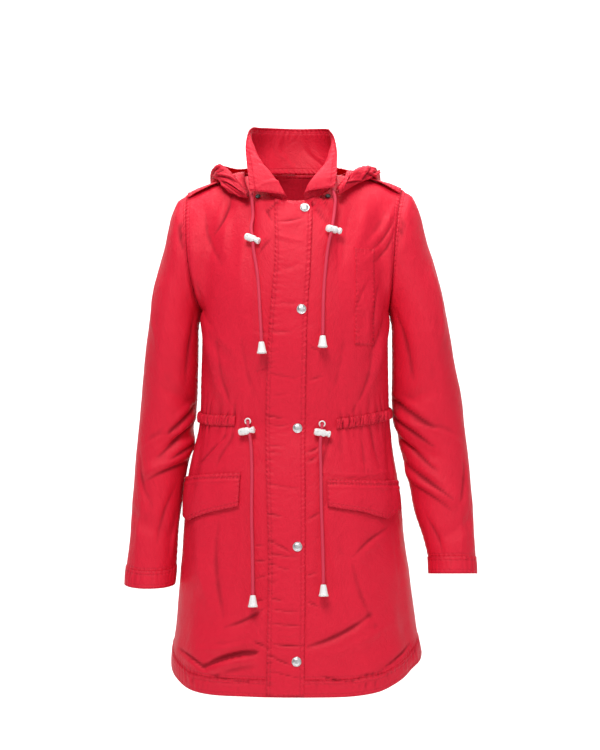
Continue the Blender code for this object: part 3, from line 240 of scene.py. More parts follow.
# Hood, half of it from its front end (share 0) to the centre back (share 1): the rim of the face
# opening, the lobe's crest, its outermost belly, its lowest turn, the layer under it, and its seam
# on the neckline.
HOOD_NAMES = ("rim", "crest", "belly", "turn", "lap", "neck")
HOOD_COLUMNS = "share " + " ".join(f"{name}_{axis}" for name in HOOD_NAMES for axis in "xyz")
HOOD = {
    "left": table(
        HOOD_COLUMNS,
        (0.00, 0.0745, -0.070, -0.029, 0.0765, -0.073, -0.029, 0.0790, -0.075, -0.033,
         0.0775, -0.072, -0.0385, 0.0755, -0.066, -0.036, 0.0735, -0.060, -0.030),
        (0.12, 0.0860, -0.048, -0.018, 0.0885, -0.052, -0.016, 0.0920, -0.056, -0.024,
         0.0900, -0.054, -0.0335, 0.0850, -0.047, -0.0255, 0.0795, -0.038, -0.014),
        (0.26, 0.1060, -0.018, 0.009, 0.1095, -0.026, 0.010, 0.1165, -0.034, -0.006,
         0.1125, -0.035, -0.0205, 0.1015, -0.0265, -0.008, 0.0830, -0.016, 0.003),
        (0.38, 0.1215, 0.008, 0.022, 0.1260, 0.005, 0.022, 0.1330, 0.004, 0.009,
         0.1265, 0.004, -0.003, 0.1120, 0.006, 0.003, 0.0830, 0.004, 0.008),
        (0.50, 0.1180, 0.034, 0.024, 0.1290, 0.034, 0.021, 0.1390, 0.040, -0.002,
         0.1330, 0.044, -0.022, 0.1150, 0.034, -0.002, 0.0800, 0.020, 0.009),
        (0.64, 0.0930, 0.070, 0.021, 0.1100, 0.086, 0.014, 0.1290, 0.108, -0.040,
         0.1170, 0.120, -0.088, 0.1020, 0.094, -0.040, 0.0660, 0.048, 0.007),
        (0.80, 0.0540, 0.113, 0.033, 0.0680, 0.134, 0.022, 0.0880, 0.150, -0.072,
         0.0780, 0.150, -0.158, 0.0640, 0.122, -0.074, 0.0400, 0.069, 0.006),
        (1.00, 0.0000, 0.130, 0.038, 0.0000, 0.156, 0.028, 0.0000, 0.180, -0.080,
         0.0000, 0.160, -0.190, 0.0000, 0.126, -0.080, 0.0000, 0.080, 0.006),
    ),
    "right": table(
        HOOD_COLUMNS,
        (0.00, 0.0640, -0.070, -0.025, 0.0665, -0.073, -0.024, 0.0690, -0.075, -0.028,
         0.0675, -0.072, -0.0335, 0.0655, -0.066, -0.031, 0.0640, -0.060, -0.026),
        (0.12, 0.0760, -0.048, -0.008, 0.0790, -0.053, -0.006, 0.0830, -0.058, -0.014,
         0.0810, -0.056, -0.0245, 0.0780, -0.048, -0.022, 0.0740, -0.038, -0.014),
        (0.26, 0.0960, -0.018, 0.011, 0.1005, -0.023, 0.013, 0.1090, -0.029, 0.004,
         0.1055, -0.029, -0.010, 0.0965, -0.021, -0.003, 0.0800, -0.016, 0.003),
        (0.38, 0.1160, 0.008, 0.018, 0.1205, 0.005, 0.018, 0.1330, 0.004, 0.011,
         0.1285, 0.004, -0.001, 0.1120, 0.006, 0.003, 0.0820, 0.004, 0.008),
        (0.50, 0.1140, 0.034, 0.019, 0.1250, 0.034, 0.017, 0.1370, 0.040, -0.002,
         0.1310, 0.044, -0.020, 0.1150, 0.034, -0.002, 0.0800, 0.020, 0.009),
        (0.64, 0.0900, 0.070, 0.020, 0.1060, 0.086, 0.013, 0.1260, 0.108, -0.038,
         0.1160, 0.120, -0.092, 0.1020, 0.094, -0.040, 0.0660, 0.048, 0.007),
        (0.80, 0.0540, 0.113, 0.033, 0.0680, 0.134, 0.022, 0.0880, 0.150, -0.070,
         0.0780, 0.150, -0.156, 0.0640, 0.122, -0.074, 0.0400, 0.069, 0.006),
        (1.00, 0.0000, 0.130, 0.038, 0.0000, 0.156, 0.028, 0.0000, 0.180, -0.080,
         0.0000, 0.160, -0.190, 0.0000, 0.126, -0.080, 0.0000, 0.080, 0.006),
    ),
}
HOOD_KNOTS = np.array([0.0, 0.12, 0.38, 0.60, 0.80, 1.0])   # where its lines lie across its width
HOOD_CLEAR = 0.0074     # least height of the hood over the shoulders and back
FLAP_CLEAR = 0.0011     # gap under a pocket flap, which hangs free
FLAP_BOW = 0.0010       # how much further a flap stands off halfway down
FLAP_SEAM = -0.4700     # height of the seam over the right flap
# Shoulder straps: their ends as shares of the panel's width, and their reach down it to either side.
EPAULETTE_SHARES = (0.44, 0.985)
EPAULETTE_REACH = 0.10
EPAULETTE_STAND, EPAULETTE_EDGE = 0.0044, 0.0022   # how far it stands off, and its front edge further

# Storm flap: its two edges from the hem up.
PLACKET = table(
    "height left right",
    (-0.818, -0.0461, 0.0127),
    (-0.600, -0.0431, 0.0143),
    (-0.400, -0.0475, 0.0143),
    (-0.200, -0.0387, 0.0190),
    (-0.150, -0.0340, 0.0222),
    (-0.040, -0.0340, 0.0255),
)
SNAPS = table(
    "x height",
    (0.0136, -0.0560),
    (0.0088, -0.2165),
    (0.0026, -0.4022),
    (0.0026, -0.5856),
    (0.0011, -0.7621),
)
# Pocket flaps, from the edge nearer the centre (across 0) to the one nearer the side (across 1).
FLAPS = {
    "left": table(
        "across u top low",
        (0.00, 0.295, -0.4722, -0.5235),
        (0.36, 0.500, -0.4750, -0.5350),
        (0.72, 0.730, -0.4790, -0.5510),
        (1.00, 0.945, -0.4830, -0.5430),
    ),
    "right": table(
        "across u top low",
        (0.00, 0.155, -0.4820, -0.5235),
        (0.36, 0.370, -0.4840, -0.5330),
        (0.74, 0.610, -0.4860, -0.5465),
        (1.00, 0.840, -0.4880, -0.5340),
    ),
}
WELT = {"x": (0.0930, 0.1240), "height": (-0.272, -0.119)}
# Waist casings: share of the panel's width, middle height and half the band's height.
CASING_HALF = 0.0085
CASING_RISE = 0.0030
WAIST_RISE = 0.0040     # how much higher it runs at the centre back
CASINGS = {
    "left": table("u height", (0.385, -0.3910), (0.70, -0.3900), (1.0, -0.3860)),
    "right": table("u height", (0.235, -0.3960), (0.60, -0.3870), (1.0, -0.3800)),
}
EYELETS = {"left": (-0.0741, -0.3915), "right": (0.0405, -0.3955)}

# Cord routes from the exit to the bell end: across, height, and how far the cord's middle stands off
# the cloth under it.
CORDS = {
    "hood_cord_left": table(
        "x height lift",
        (-0.0680, -0.0310, 0.0200), (-0.0676, -0.0480, 0.0130), (-0.0668, -0.0680, 0.0085),
        (-0.0650, -0.0880, 0.0088), (-0.0636, -0.1050, 0.0090), (-0.0632, -0.1230, 0.0080),
        (-0.0612, -0.1440, 0.0050), (-0.0588, -0.1660, 0.0034), (-0.0572, -0.1880, 0.0033),
        (-0.0558, -0.2100, 0.0050), (-0.0545, -0.2320, 0.0065), (-0.0532, -0.2500, 0.0080),
        (-0.0524, -0.2670, 0.0092),
    ),
    "hood_cord_right": table(
        "x height lift",
        (0.0590, -0.0240, 0.0220), (0.0588, -0.0400, 0.0150), (0.0578, -0.0600, 0.0095),
        (0.0560, -0.0760, 0.0092), (0.0542, -0.0900, 0.0092), (0.0512, -0.1060, 0.0082),
        (0.0484, -0.1260, 0.0045), (0.0462, -0.1500, 0.0031), (0.0440, -0.1750, 0.0031),
        (0.0424, -0.2000, 0.0050), (0.0418, -0.2220, 0.0065), (0.0415, -0.2400, 0.0080),
        (0.0411, -0.2575, 0.0092),
    ),
    "waist_cord_left": table(
        "x height lift",
        (-0.0742, -0.3915, 0.0048), (-0.0738, -0.3980, 0.0078), (-0.0724, -0.4060, 0.0086),
        (-0.0708, -0.4160, 0.0075), (-0.0690, -0.4350, 0.0055), (-0.0682, -0.4600, 0.0045),
        (-0.0680, -0.4900, 0.0046), (-0.0682, -0.5200, 0.0048), (-0.0678, -0.5500, 0.0050),
        (-0.0668, -0.5800, 0.0055), (-0.0660, -0.6100, 0.0064), (-0.0654, -0.6350, 0.0080),
        (-0.0650, -0.6600, 0.0094),
    ),
    "waist_cord_right": table(
        "x height lift",
        (0.0405, -0.3955, 0.0048), (0.0402, -0.4015, 0.0078), (0.0392, -0.4090, 0.0086),
        (0.0380, -0.4190, 0.0075), (0.0378, -0.4400, 0.0055), (0.0386, -0.4650, 0.0045),
        (0.0390, -0.4950, 0.0046), (0.0394, -0.5250, 0.0048), (0.0402, -0.5500, 0.0050),
        (0.0410, -0.5750, 0.0056), (0.0416, -0.6000, 0.0066), (0.0420, -0.6210, 0.0080),
        (0.0422, -0.6430, 0.0094),
    ),
}
# Where each lock sits: its cord's point, a shift along the barrel, and the barrel's tilt in degrees.
LOCKS = {
    "hood_cord_left": (4, -0.0005, -22.0),
    "hood_cord_right": (4, 0.0035, -10.0),
    "waist_cord_left": (2, -0.0035, 10.0),
    "waist_cord_right": (2, 0.0015, -10.0),
}
CORD_HANG = (0.5, 1, 0)   # a cord stands off level and mostly forward, whatever the cloth's slope


# ---- the coat's surface ----
def fold_lift(folds, turn, height, metres_per_turn):
    """Height of all soft ridges and troughs at a place on the cloth."""
    lift = np.zeros(np.broadcast(turn, height).shape)
    for a_turn, a_height, b_turn, b_height, width, rise in zip(*folds.values()):
        run = np.array([(b_turn - a_turn) * metres_per_turn, b_height - a_height])
        length = math.hypot(*run)
        across = (turn - a_turn) * metres_per_turn
        up = height - a_height
        along = (across * run[0] + up * run[1]) / length
        off = (across * run[1] - up * run[0]) / length
        past = np.maximum(0, np.maximum(-along, along - length))
        lift += rise * np.exp(-(off / width) ** 2 - (past / (1.6 * width)) ** 2)
    return lift


def lower_body(side, back, u, height):
    """The coat below the armpits; u runs from the centre line to the side seam."""
    sign = SIDES[side]
    angle = u * math.pi / 2
    half = spline(BODY["height"], BODY[side], height)
    depth = spline(BODY["height"], BODY["back" if back else "front"], height)
    across = np.sin(angle)
    along = np.cos(angle)
    turn = sign * (2 - u if back else u)
    swell = fold_lift(FOLDS, turn, height, METRES_PER_TURN)
    x = sign * (half * across ** (2 / SQUARE) + swell * across)
    y = (depth * along ** (2 / SQUARE) + swell * along) * (1 if back else -1)
    return np.stack([x, y, height + 0 * u], axis=-1)


def neckline(side, turn):
    """The neck opening: turn 0 is the centre front, 1 the side neck, 2 the centre back."""
    angle = turn * math.pi / 2
    x = SIDES[side] * NECK_HALF * np.sin(angle)
    front = np.cos(angle) > 0
    y = NECK_CENTRE[0] - np.where(front, *NECK_REACH) * np.cos(angle)
    z = NECK_CENTRE[1] - np.where(front, *NECK_DROP) * np.abs(np.cos(angle))
    return np.stack([x, y, z], axis=-1)


def top_line(side, back, u):
    """Neckline, then the shoulder seam out to the armhole."""
    turn = np.clip(u / NECK_SHARE, 0, 1)
    neck = neckline(side, 2 - turn if back else turn)
    share = np.clip((u - NECK_SHARE) / (1 - NECK_SHARE), 0, 1)
    row = 0 if side == "left" else 1
    sign = SIDES[side]
    tip = np.array([sign * ARMHOLE["tip_x"][row], ARMHOLE["tip_y"][row], ARMHOLE["tip_z"][row]])
    start = neckline(side, np.array(1.0))
    seam = start + (tip - start) * share[..., None]
    seam[..., 2] += SHOULDER_ARCH * np.sin(share * math.pi) * (1 - share)
    return np.where((u < NECK_SHARE)[..., None], neck, seam)


def upper_body(side, back, u, v):
    """Chest or shoulder blade: v runs from the top line (0) down to the armpits (1)."""
    sign = SIDES[side]
    row = 0 if side == "left" else 1
    away = 1 if back else -1
    top = top_line(side, back, u)
    low = lower_body(side, back, u, np.full(np.shape(u), BUST))
    blend = smooth_step(0.68, 1.0, u)[..., None]
    neck = 1 - smooth_step(0.0, NECK_SHARE, u)[..., None]
    shoulder = np.array([0, away * 0.205, -0.050])
    centre = np.array([0, away * (0.115 if back else 0.085), -0.190])
    arm_top = np.array([sign * (0.0 if back else ARMHOLE["pull_top"][row]), away * 0.200, -0.160])
    arm_low = np.array([sign * (-0.040 if back else ARMHOLE["pull_low"][row]), -away * 0.220, -0.120])
    start = (shoulder * (1 - neck) + centre * neck) * (1 - blend) + arm_top * blend
    end = np.array([0, away * (-0.010 if back else 0.020), -0.200]) * (1 - blend) + arm_low * blend
    t = v[..., None]
    point = (2 * t**3 - 3 * t**2 + 1) * top + (t**3 - 2 * t**2 + t) * start
    point = point + (3 * t**2 - 2 * t**3) * low + (t**3 - t**2) * end
    turn = sign * (2 - u if back else u)
    swell = fold_lift(FOLDS, turn, point[..., 2], METRES_PER_TURN) * np.sin(t[..., 0] * math.pi)
    point[..., 1] += away * swell
    return point


def hem_height(side, u):
    return spline(HEM["u"], HEM[side], u)


def coat(side, back, u, v):
    """The whole panel: v 0-1 chest, 1-2 down to the hem band's seam, 2-3 the band."""
    u, v = np.broadcast_arrays(np.asarray(u, float), np.asarray(v, float))
    hem = hem_height(side, u)
    seam = hem + HEM_BAND
    height = np.where(v < 2, BUST + (seam - BUST) * (v - 1), seam + (hem - seam) * (v - 2))
    low = lower_body(side, back, u, np.minimum(height, BUST))
    high = upper_body(side, back, u, np.clip(v, 0, 1))
    return np.where((v < 1)[..., None], high, low)


def front_place(side, x, height):
    """Panel coordinates of the front's point that shows at x and height, by Newton's steps."""
    x, height = np.broadcast_arrays(np.asarray(x, float), np.asarray(height, float))
    u = np.clip(np.abs(x) / 0.17, 0.01, 0.9)
    v = np.clip(1 + (height - BUST) / np.where(height > BUST, BUST, -0.58), 0.05, 2.9)
    small = 1e-4
    for _ in range(25):
        here = coat(side, False, u, v)
        by_u = (coat(side, False, u + small, v) - here) / small
        by_v = (coat(side, False, u, v + small) - here) / small
        off_x, off_z = x - here[..., 0], height - here[..., 2]
        scale = by_u[..., 0] * by_v[..., 2] - by_v[..., 0] * by_u[..., 2]
        u = np.clip(u + 0.7 * (off_x * by_v[..., 2] - off_z * by_v[..., 0]) / scale, 0, 0.97)
        v = np.clip(v + 0.7 * (off_z * by_u[..., 0] - off_x * by_u[..., 2]) / scale, 0, 2.95)
    return u, v


def bisector(points, wrap=False):
    """Direction of the lines of points along the first axis: the mean of the steps to and from each."""
    steps = unit(np.diff(points, axis=0))
    if wrap:
        closing = unit(points[:1] - points[-1:])
        return np.concatenate([steps, closing]) + np.concatenate([closing, steps])
    return np.concatenate([steps, steps[-1:]]) + np.concatenate([steps[:1], steps])


def normals(points, wrap=False):
    """Unit normals of a grid of points: along (second axis) x across (first axis)."""
    along = np.swapaxes(bisector(np.swapaxes(points, 0, 1)), 0, 1)
    return unit(np.cross(along, bisector(points, wrap)))


def half_grid(side, back, columns, rows):
    """Grid of one half of the coat, ordered so that its normal points out."""
    grid = coat(side, back, columns[:, None], rows[None, :])
    flip = (side == "left") != back
    return grid[::-1] if flip else grid


def armhole(side, turns):
    """The armhole's edge: turn 0 shoulder tip, 0.25 front, 0.5 armpit, 0.75 back; with the way out."""
    points, ways = [], []
    for turn in turns:
        back = turn > 0.5
        v = 2 * (1 - turn) if back else 2 * turn
        edge = coat(side, back, 1.0, v)
        ways.append(unit(edge - coat(side, back, 0.985, v)))
        points.append(edge + ways[-1] * 0.0005)
    return np.array(points), np.array(ways)


def sleeve_ring(side, row, turns):
    """One level ring of the sleeve, with a pitch that lifts its back edge."""
    data = SLEEVE[side]
    sign = SIDES[side]
    outer, inner = data["outer"][row], data["inner"][row]
    angle = turns * 2 * math.pi
    cos, sin = np.cos(angle), np.sin(angle)
    reach = np.sign(cos) * np.abs(cos) ** (2 / SLEEVE_SQUARE) * (outer - inner) / 2
    depth = np.sign(sin) * np.abs(sin) ** (2 / SLEEVE_SQUARE) * data["depth"][row]
    x = sign * ((outer + inner) / 2 + reach)
    y = data["middle"][row] - depth
    z = data["height"][row] - data["pitch"][row] * depth
    return np.stack([x, y, z], axis=-1)


def sleeve(side, turns, v):
    """Sleeve surface: v 0-1 from the armhole to the first ring, then one unit for each ring."""
    rings = np.stack([sleeve_ring(side, row, turns) for row in range(len(SLEEVE[side]["height"]))])
    start, _ = armhole(side, turns)
    knots = np.arange(len(rings), dtype=float) + 1
    columns = []
    for at in v:
        if at < 1:
            cap = np.cos(turns * math.pi) ** 2
            swell = SLEEVE_HEAD * at * (1 - at) * cap
            outward = np.array([SIDES[side] * HEAD_WAY[0], 0, HEAD_WAY[1]])
            slope = rings[1] - rings[0]
            chord = rings[0] - start
            ease = at * at * (at - 1) * ARMPIT_EASE * (1 - cap)
            point = start + chord * at + outward * swell[:, None] + (slope - chord) * ease[:, None]
        else:
            point = spline(knots, rings, at)
        middle = point.mean(axis=0)
        outward = unit(point - middle)
        lift = fold_lift(SLEEVE_FOLDS[side], turns, point[:, 2], SLEEVE_METRES_PER_TURN)
        columns.append(point + outward * (lift * min(1, at * 1.5))[:, None])
    return np.stack(columns, axis=1)


def width_to_u(side, x, v):
    """Share of the panel's width at which its rows v are x away from the centre."""
    low, high = np.zeros(np.broadcast(x, v).shape), np.full(np.broadcast(x, v).shape, 0.95)
    for _ in range(24):
        middle = (low + high) / 2
        short = np.abs(coat(side, False, middle, v)[..., 0]) < x
        low, high = np.where(short, middle, low), np.where(short, high, middle)
    return (low + high) / 2


def around(tables, key, names, at, span):
    """Lines of points that run from the left half's front end round the back to the right half's.

    Each half's rows are placed by the column key, which is span at the centre back; the result has one
    line for each name, at the places at, which run from 0 to 2 * span.
    """
    left, right = tables["left"], tables["right"]
    knots = np.concatenate([left[key], 2 * span - right[key][-2::-1]])
    lines = []
    for name in names:
        near, far = (np.stack([half[f"{name}_{axis}"] for axis in "xyz"], axis=-1) for half in (left, right))
        lines.append(spline(knots, np.concatenate([near * (-1, 1, 1), far[-2::-1]]), at))
    return np.stack(lines)


def spline_grid(knots, lines, share):
    """Grid through three or more lines of points: result is (points along a line, share)."""
    return np.swapaxes(spline(knots, lines, share), 0, 1)


def collar_grid(count, steps):
    turn = np.linspace(COLLAR["left"]["turn"][0], 4 - COLLAR["right"]["turn"][0], count)
    roll, edge = around(COLLAR, "turn", ("roll", "edge"), turn, 2.0)
    left_half = (turn <= 2)[:, None]
    base = np.where(left_half, neckline("left", turn), neckline("right", 4 - turn))
    base = base * COLLAR_INSET + COLLAR_LIFT
    return spline_grid(COLLAR_KNOTS, np.stack([base, roll, edge]), np.linspace(0, 1, steps))


def grid_tree(grids):
    """Search tree of the outer faces of some grids."""
    points, faces = [], []
    for grid in grids:
        base = len(points)
        across, along = grid.shape[:2]
        points += [Vector(p) for p in grid.reshape(-1, 3)]
        for i in range(across - 1):
            for j in range(along - 1):
                a = base + i * along + j
                faces.append((a + 1, a + along + 1, a + along, a))
    return BVHTree.FromPolygons(points, faces)


def keep_off(tree, points, clearance):
    """Moves points that are nearer than the clearance out from the body's surface."""
    moved = points.copy().reshape(-1, 3)
    for index, point in enumerate(moved):
        place, normal, _, _ = tree.find_nearest(Vector(point))
        height = (Vector(point) - place).dot(normal)
        if height < clearance:
            moved[index] = np.array(Vector(point) + normal * (clearance - height))
    return moved.reshape(points.shape)


def evened(line, count):
    """The same line with its points at even distances."""
    run = np.concatenate([[0], np.cumsum(np.linalg.norm(np.diff(line, axis=0), axis=1))])
    at = np.linspace(0, run[-1], count)
    return np.stack([np.interp(at, run, line[:, axis]) for axis in range(3)], axis=-1)


def hood_grid(tree, count, steps):
    share = np.linspace(0, 2, count)
    lines = around(HOOD, "share", HOOD_NAMES, share, 1.0)
    grid = spline_grid(HOOD_KNOTS, lines, np.linspace(0, 1, 4 * steps))
    grid = np.stack([evened(line, steps) for line in grid])
    return keep_off(tree, grid[::-1], HOOD_CLEAR)


def front_at(x, height):
    """Points and outward normals of the smooth front, all on one side of the centre line."""
    x = np.asarray(x, float)
    side = "right" if x.flat[0] > 0 else "left"
    u, v = front_place(side, x, height)
    small = 1e-3
    here = coat(side, False, u, v)
    by_u = coat(side, False, u + small, v) - here
    by_v = coat(side, False, u, v + small) - here
    return here, unit(np.cross(by_v, by_u)) * SIDES[side]


def cord_route(name, count):
    """Evenly spaced points on a smooth curve through the route's own points."""
    data = CORDS[name]
    place, normal = front_at(data["x"], data["height"])
    stations = place + unit(normal * CORD_HANG) * data["lift"][:, None]
    steps = np.linalg.norm(np.diff(stations, axis=0), axis=1)
    knots = np.concatenate([[0], np.cumsum(steps)])
    at = np.linspace(0, knots[-1], count)
    return spline(knots, stations, at), stations


# ---- creases, gathers and crumples ----
# A crease is a line from one place to another, in centimetres, with a bend to one side in centimetres,
# its half-width and rise in millimetres (below 0 it is a trough), and the share of the rise that stands
# up, or sinks, beside it. On the fronts and the back the places are x and height as seen from in front.
FRONT_CREASES = (
    # Chest and shoulders
    (-10.4, -3.1, -12.9, -9.3, -0.5, 6, -2.2, 0.6),
    (-9.3, -5.4, -11.5, -12.4, 0.6, 10, 1.6, 0.4),
    (-14.5, -6, -12, -14, 0.6, 9, -1.5, 0.4),
    (-4.6, -5.1, -3.6, -7.9, 0.2, 4, -1.5, 0.5),
    (-2.6, -4.4, -4.6, -6.2, 0.1, 2.6, -1.6, 0.6),
    (-3.7, -10.4, -5.9, -13, 0.2, 5, -1.2, 0.4),
    (-8, -9, -8.6, -19, 0.4, 14, 1.4, 0.3),
    (1.9, -3.4, 4, -5.4, 0, 4.5, 1.6, 0.5),
    (3.1, -5.6, 5.3, -8.2, 0, 6, -1.1, 0.4),
    (1.9, -5.2, 3.9, -4.4, 0.2, 3, -1.6, 0.6),
    (1.4, -4, 2.6, -6.6, 0.2, 3.5, 1.6, 0.4),
    (2.4, -3.2, 5.2, -3.9, 0.1, 2.2, -1.8, 0.7),
    (3.4, -2.6, 5, -5, 0.1, 2.4, -1.8, 0.7),
    (2, -6.2, 3.2, -4.2, -0.1, 2.2, -1.8, 0.6),
    (15.6, -7.2, 12.2, -12, -0.3, 6, -2.4, 0.8),
    (15.8, -8.8, 13, -13.4, -0.3, 5.5, -1.9, 0.6),
    (15.1, -5.9, 10.3, -14.3, -0.9, 11, 1.8, 0.4),
    (9, -5, 7.5, -15, 0.5, 13, -1.3, 0.3),
    (13, -18.5, 12.2, -26.8, 0.3, 5.5, -1.8, 0.6),
    (10.5, -19.5, 11, -26, -0.5, 6, 1, 0.5),
    (11.2, -17.5, 9.2, -22.5, 0.2, 5, -1, 0.5),
    # Under the arms and down to the waist
    (-15.5, -18.4, -12.7, -24.9, 0.5, 7, -2.3, 0.7),
    (-15.2, -20.2, -9.9, -28.3, 0.6, 11, 1.7, 0.4),
    (14.3, -20.2, 11.9, -28.3, -0.5, 8, -2, 0.5),
    (-14.1, -24.9, -10.6, -36.6, 0.8, 12, 2, 0.5),
    (-12.4, -27, -9.5, -38, 0.6, 8, -1.6, 0.4),
    (13.7, -26.5, 10.3, -36, -0.8, 12, 1.9, 0.5),
    (12, -29, 8.8, -37.8, -0.6, 7, -1.6, 0.4),
    (-8.7, -24.9, -6.4, -36, 0.3, 14, -1.5, 0.3),
    (7.7, -24.9, 5.3, -36.3, -0.3, 14, -1.5, 0.3),
    (-5.9, -20, -5.2, -34, 0.2, 9, 1, 0.4),
    # Just under the waist
    (-10.7, -41.8, -15.6, -46.8, 0, 3.2, 1.9, 0.6),
    (-9.3, -40.8, -12.8, -46.8, 0.3, 8, -1.4, 0.4),
    (-14.5, -41, -16.6, -46.5, 0.2, 6, 1.4, 0.5),
    (1.7, -43.9, 4, -42.8, 0.2, 4, -1.7, 0.6),
    (1.7, -45.4, 3.4, -44.3, 0.2, 4, -1.4, 0.5),
    (5.3, -41.4, 4.1, -46.8, 0.2, 7, -1.3, 0.4),
    (7.8, -40.8, 8.8, -46.2, 0.2, 8, 1.5, 0.4),
    (11.9, -39.8, 13.2, -46.2, 0.2, 7, -1.6, 0.4),
    (9.9, -40.5, 10.8, -46.8, -0.2, 5, -1.1, 0.4),
    # Seam over the right flap
    (3.7, -47.1, 15.4, -47.3, 0.45, 1.8, 1, 0.5),
    # Skirt
    (-15.5, -56, -14, -67, 0.6, 15, 2.6, 0.3),
    (-12.2, -55.5, -11.4, -69, 0.7, 12, -2, 0.3),
    (-8.7, -54.5, -9.7, -67, -0.5, 13, 1.8, 0.3),
    (9.2, -59.9, 14, -56.3, -0.3, 6, -1.9, 0.6),
    (5.3, -54.5, 7.7, -67, 0.6, 15, 2, 0.3),
    (9, -62, 12.5, -71, 0.4, 13, -1.8, 0.3),
    (15, -56, 16.3, -67, 0.3, 11, 1.8, 0.4),
    (-13.7, -77.1, -6.7, -75, -0.4, 7, -6, 0.8),
    (-14.6, -74.8, -6.4, -73, 0.4, 9, 2.4, 0.2),
    (-10.6, -71, -5.3, -68.3, 0.3, 6.5, -1.8, 0.5),
    (-14.1, -73, -5.5, -71.2, 0.5, 12, 1.6, 0.3),
    (2.2, -73.8, 11.3, -69.4, 0.5, 7.5, -2.6, 0.6),
    (3.5, -75.6, 13.8, -71.3, 0.6, 14, 2.2, 0.3),
    (13.9, -77.5, 17.8, -74.7, 0.2, 4.5, -2, 0.7),
    (-18, -75.5, -13.7, -78.1, -0.2, 4.5, -2.2, 0.7),
    (3.8, -78.4, 8.7, -79.4, 0.2, 3.5, -1.8, 0.7),
    (9.1, -79.1, 13.2, -78.4, -0.2, 4, -1.5, 0.6),
    (-13, -78.7, -7.1, -79.5, 0.2, 3.5, -1.5, 0.6),
    # Short pulls beside the storm flap
    (-6.4, -58.4, -4.8, -58.5, 0, 2.6, -1.3, 0.5),
    (-6.5, -60.7, -4.6, -60.8, 0, 2.6, -1.4, 0.5),
    (-6.2, -63.5, -4.6, -63, 0, 2.6, -1.3, 0.5),
    (-6.7, -67.2, -4.6, -66.6, 0, 3.2, -1.3, 0.5),
    (-6.8, -73.1, -4.4, -74.1, 0, 4.2, -1.6, 0.5),
    (1.6, -66.9, 3.6, -67.8, 0, 4.2, -1.3, 0.5),
    (1.6, -63, 3.1, -62.6, 0, 3.2, -1.2, 0.5),
    (1.6, -54.5, 3.8, -53.2, 0, 5, -1.3, 0.4),
    (-6.3, -24.9, -4.4, -25.5, 0, 4, -1.1, 0.5),
    (-6.1, -31.4, -4.5, -30.8, 0, 4, -1.1, 0.5),
    (1.9, -27.2, 3.9, -28.3, 0, 4, -1.1, 0.5),
    (1.9, -32.7, 4.2, -32.1, 0, 4, -1.1, 0.5),
)
BACK_CREASES = (
    (-4, -17, -12.5, -26, -0.8, 11, -2.4, 0.5),
    (5, -17.5, 13, -25, 0.8, 11, -2.2, 0.5),
    (-3, -21, -11.5, -31, -0.8, 13, 2, 0.3),
    (2, -22, 10.5, -32, 0.9, 13, 2.2, 0.3),
    (-9.5, -27, -6.5, -37, 0.5, 9, -1.8, 0.4),
    (9, -28, 6, -37.2, -0.5, 9, -2, 0.4),
    (0.5, -24, -0.5, -37, 0.4, 12, -1.4, 0.3),
    (-13.5, -30, -10.5, -37.5, 0.3, 8, 1.6, 0.5),
    (13.2, -30.5, 10.2, -37.5, -0.3, 8, 1.6, 0.5),
    (-5, -40.5, -6.5, -49, 0.3, 8, -1.9, 0.5),
    (-1.5, -40.5, -1, -52, 0.3, 10, 1.9, 0.4),
    (4.5, -40.5, 6.5, -48.5, -0.3, 8, -1.9, 0.5),
    (9.5, -40, 11.5, -48, 0.4, 9, 1.8, 0.4),
    (-10, -40, -12, -48, -0.4, 9, 1.7, 0.4),
    (-7.5, -52, -9, -70, 0.8, 16, 2.6, 0.3),
    (7, -53, 8.8, -72, -0.8, 16, 2.8, 0.3),
    (0.5, -55, 1, -76, 0.6, 17, -2.6, 0.3),
    (-13.5, -56, -14.5, -72, 0.5, 13, -2.2, 0.3),
    (13.5, -56, 14.8, -71, -0.5, 13, -2.2, 0.3),
    (-12, -75.5, -4, -73, 0.5, 8, -2.4, 0.6),
    (3.5, -74.5, 11, -71.5, -0.5, 8, -2, 0.6),
    (-17, -73.5, -13, -77, 0.2, 5, -1.8, 0.6),
    (12.5, -77.5, 17, -74, 0.2, 5, -1.8, 0.6),
)
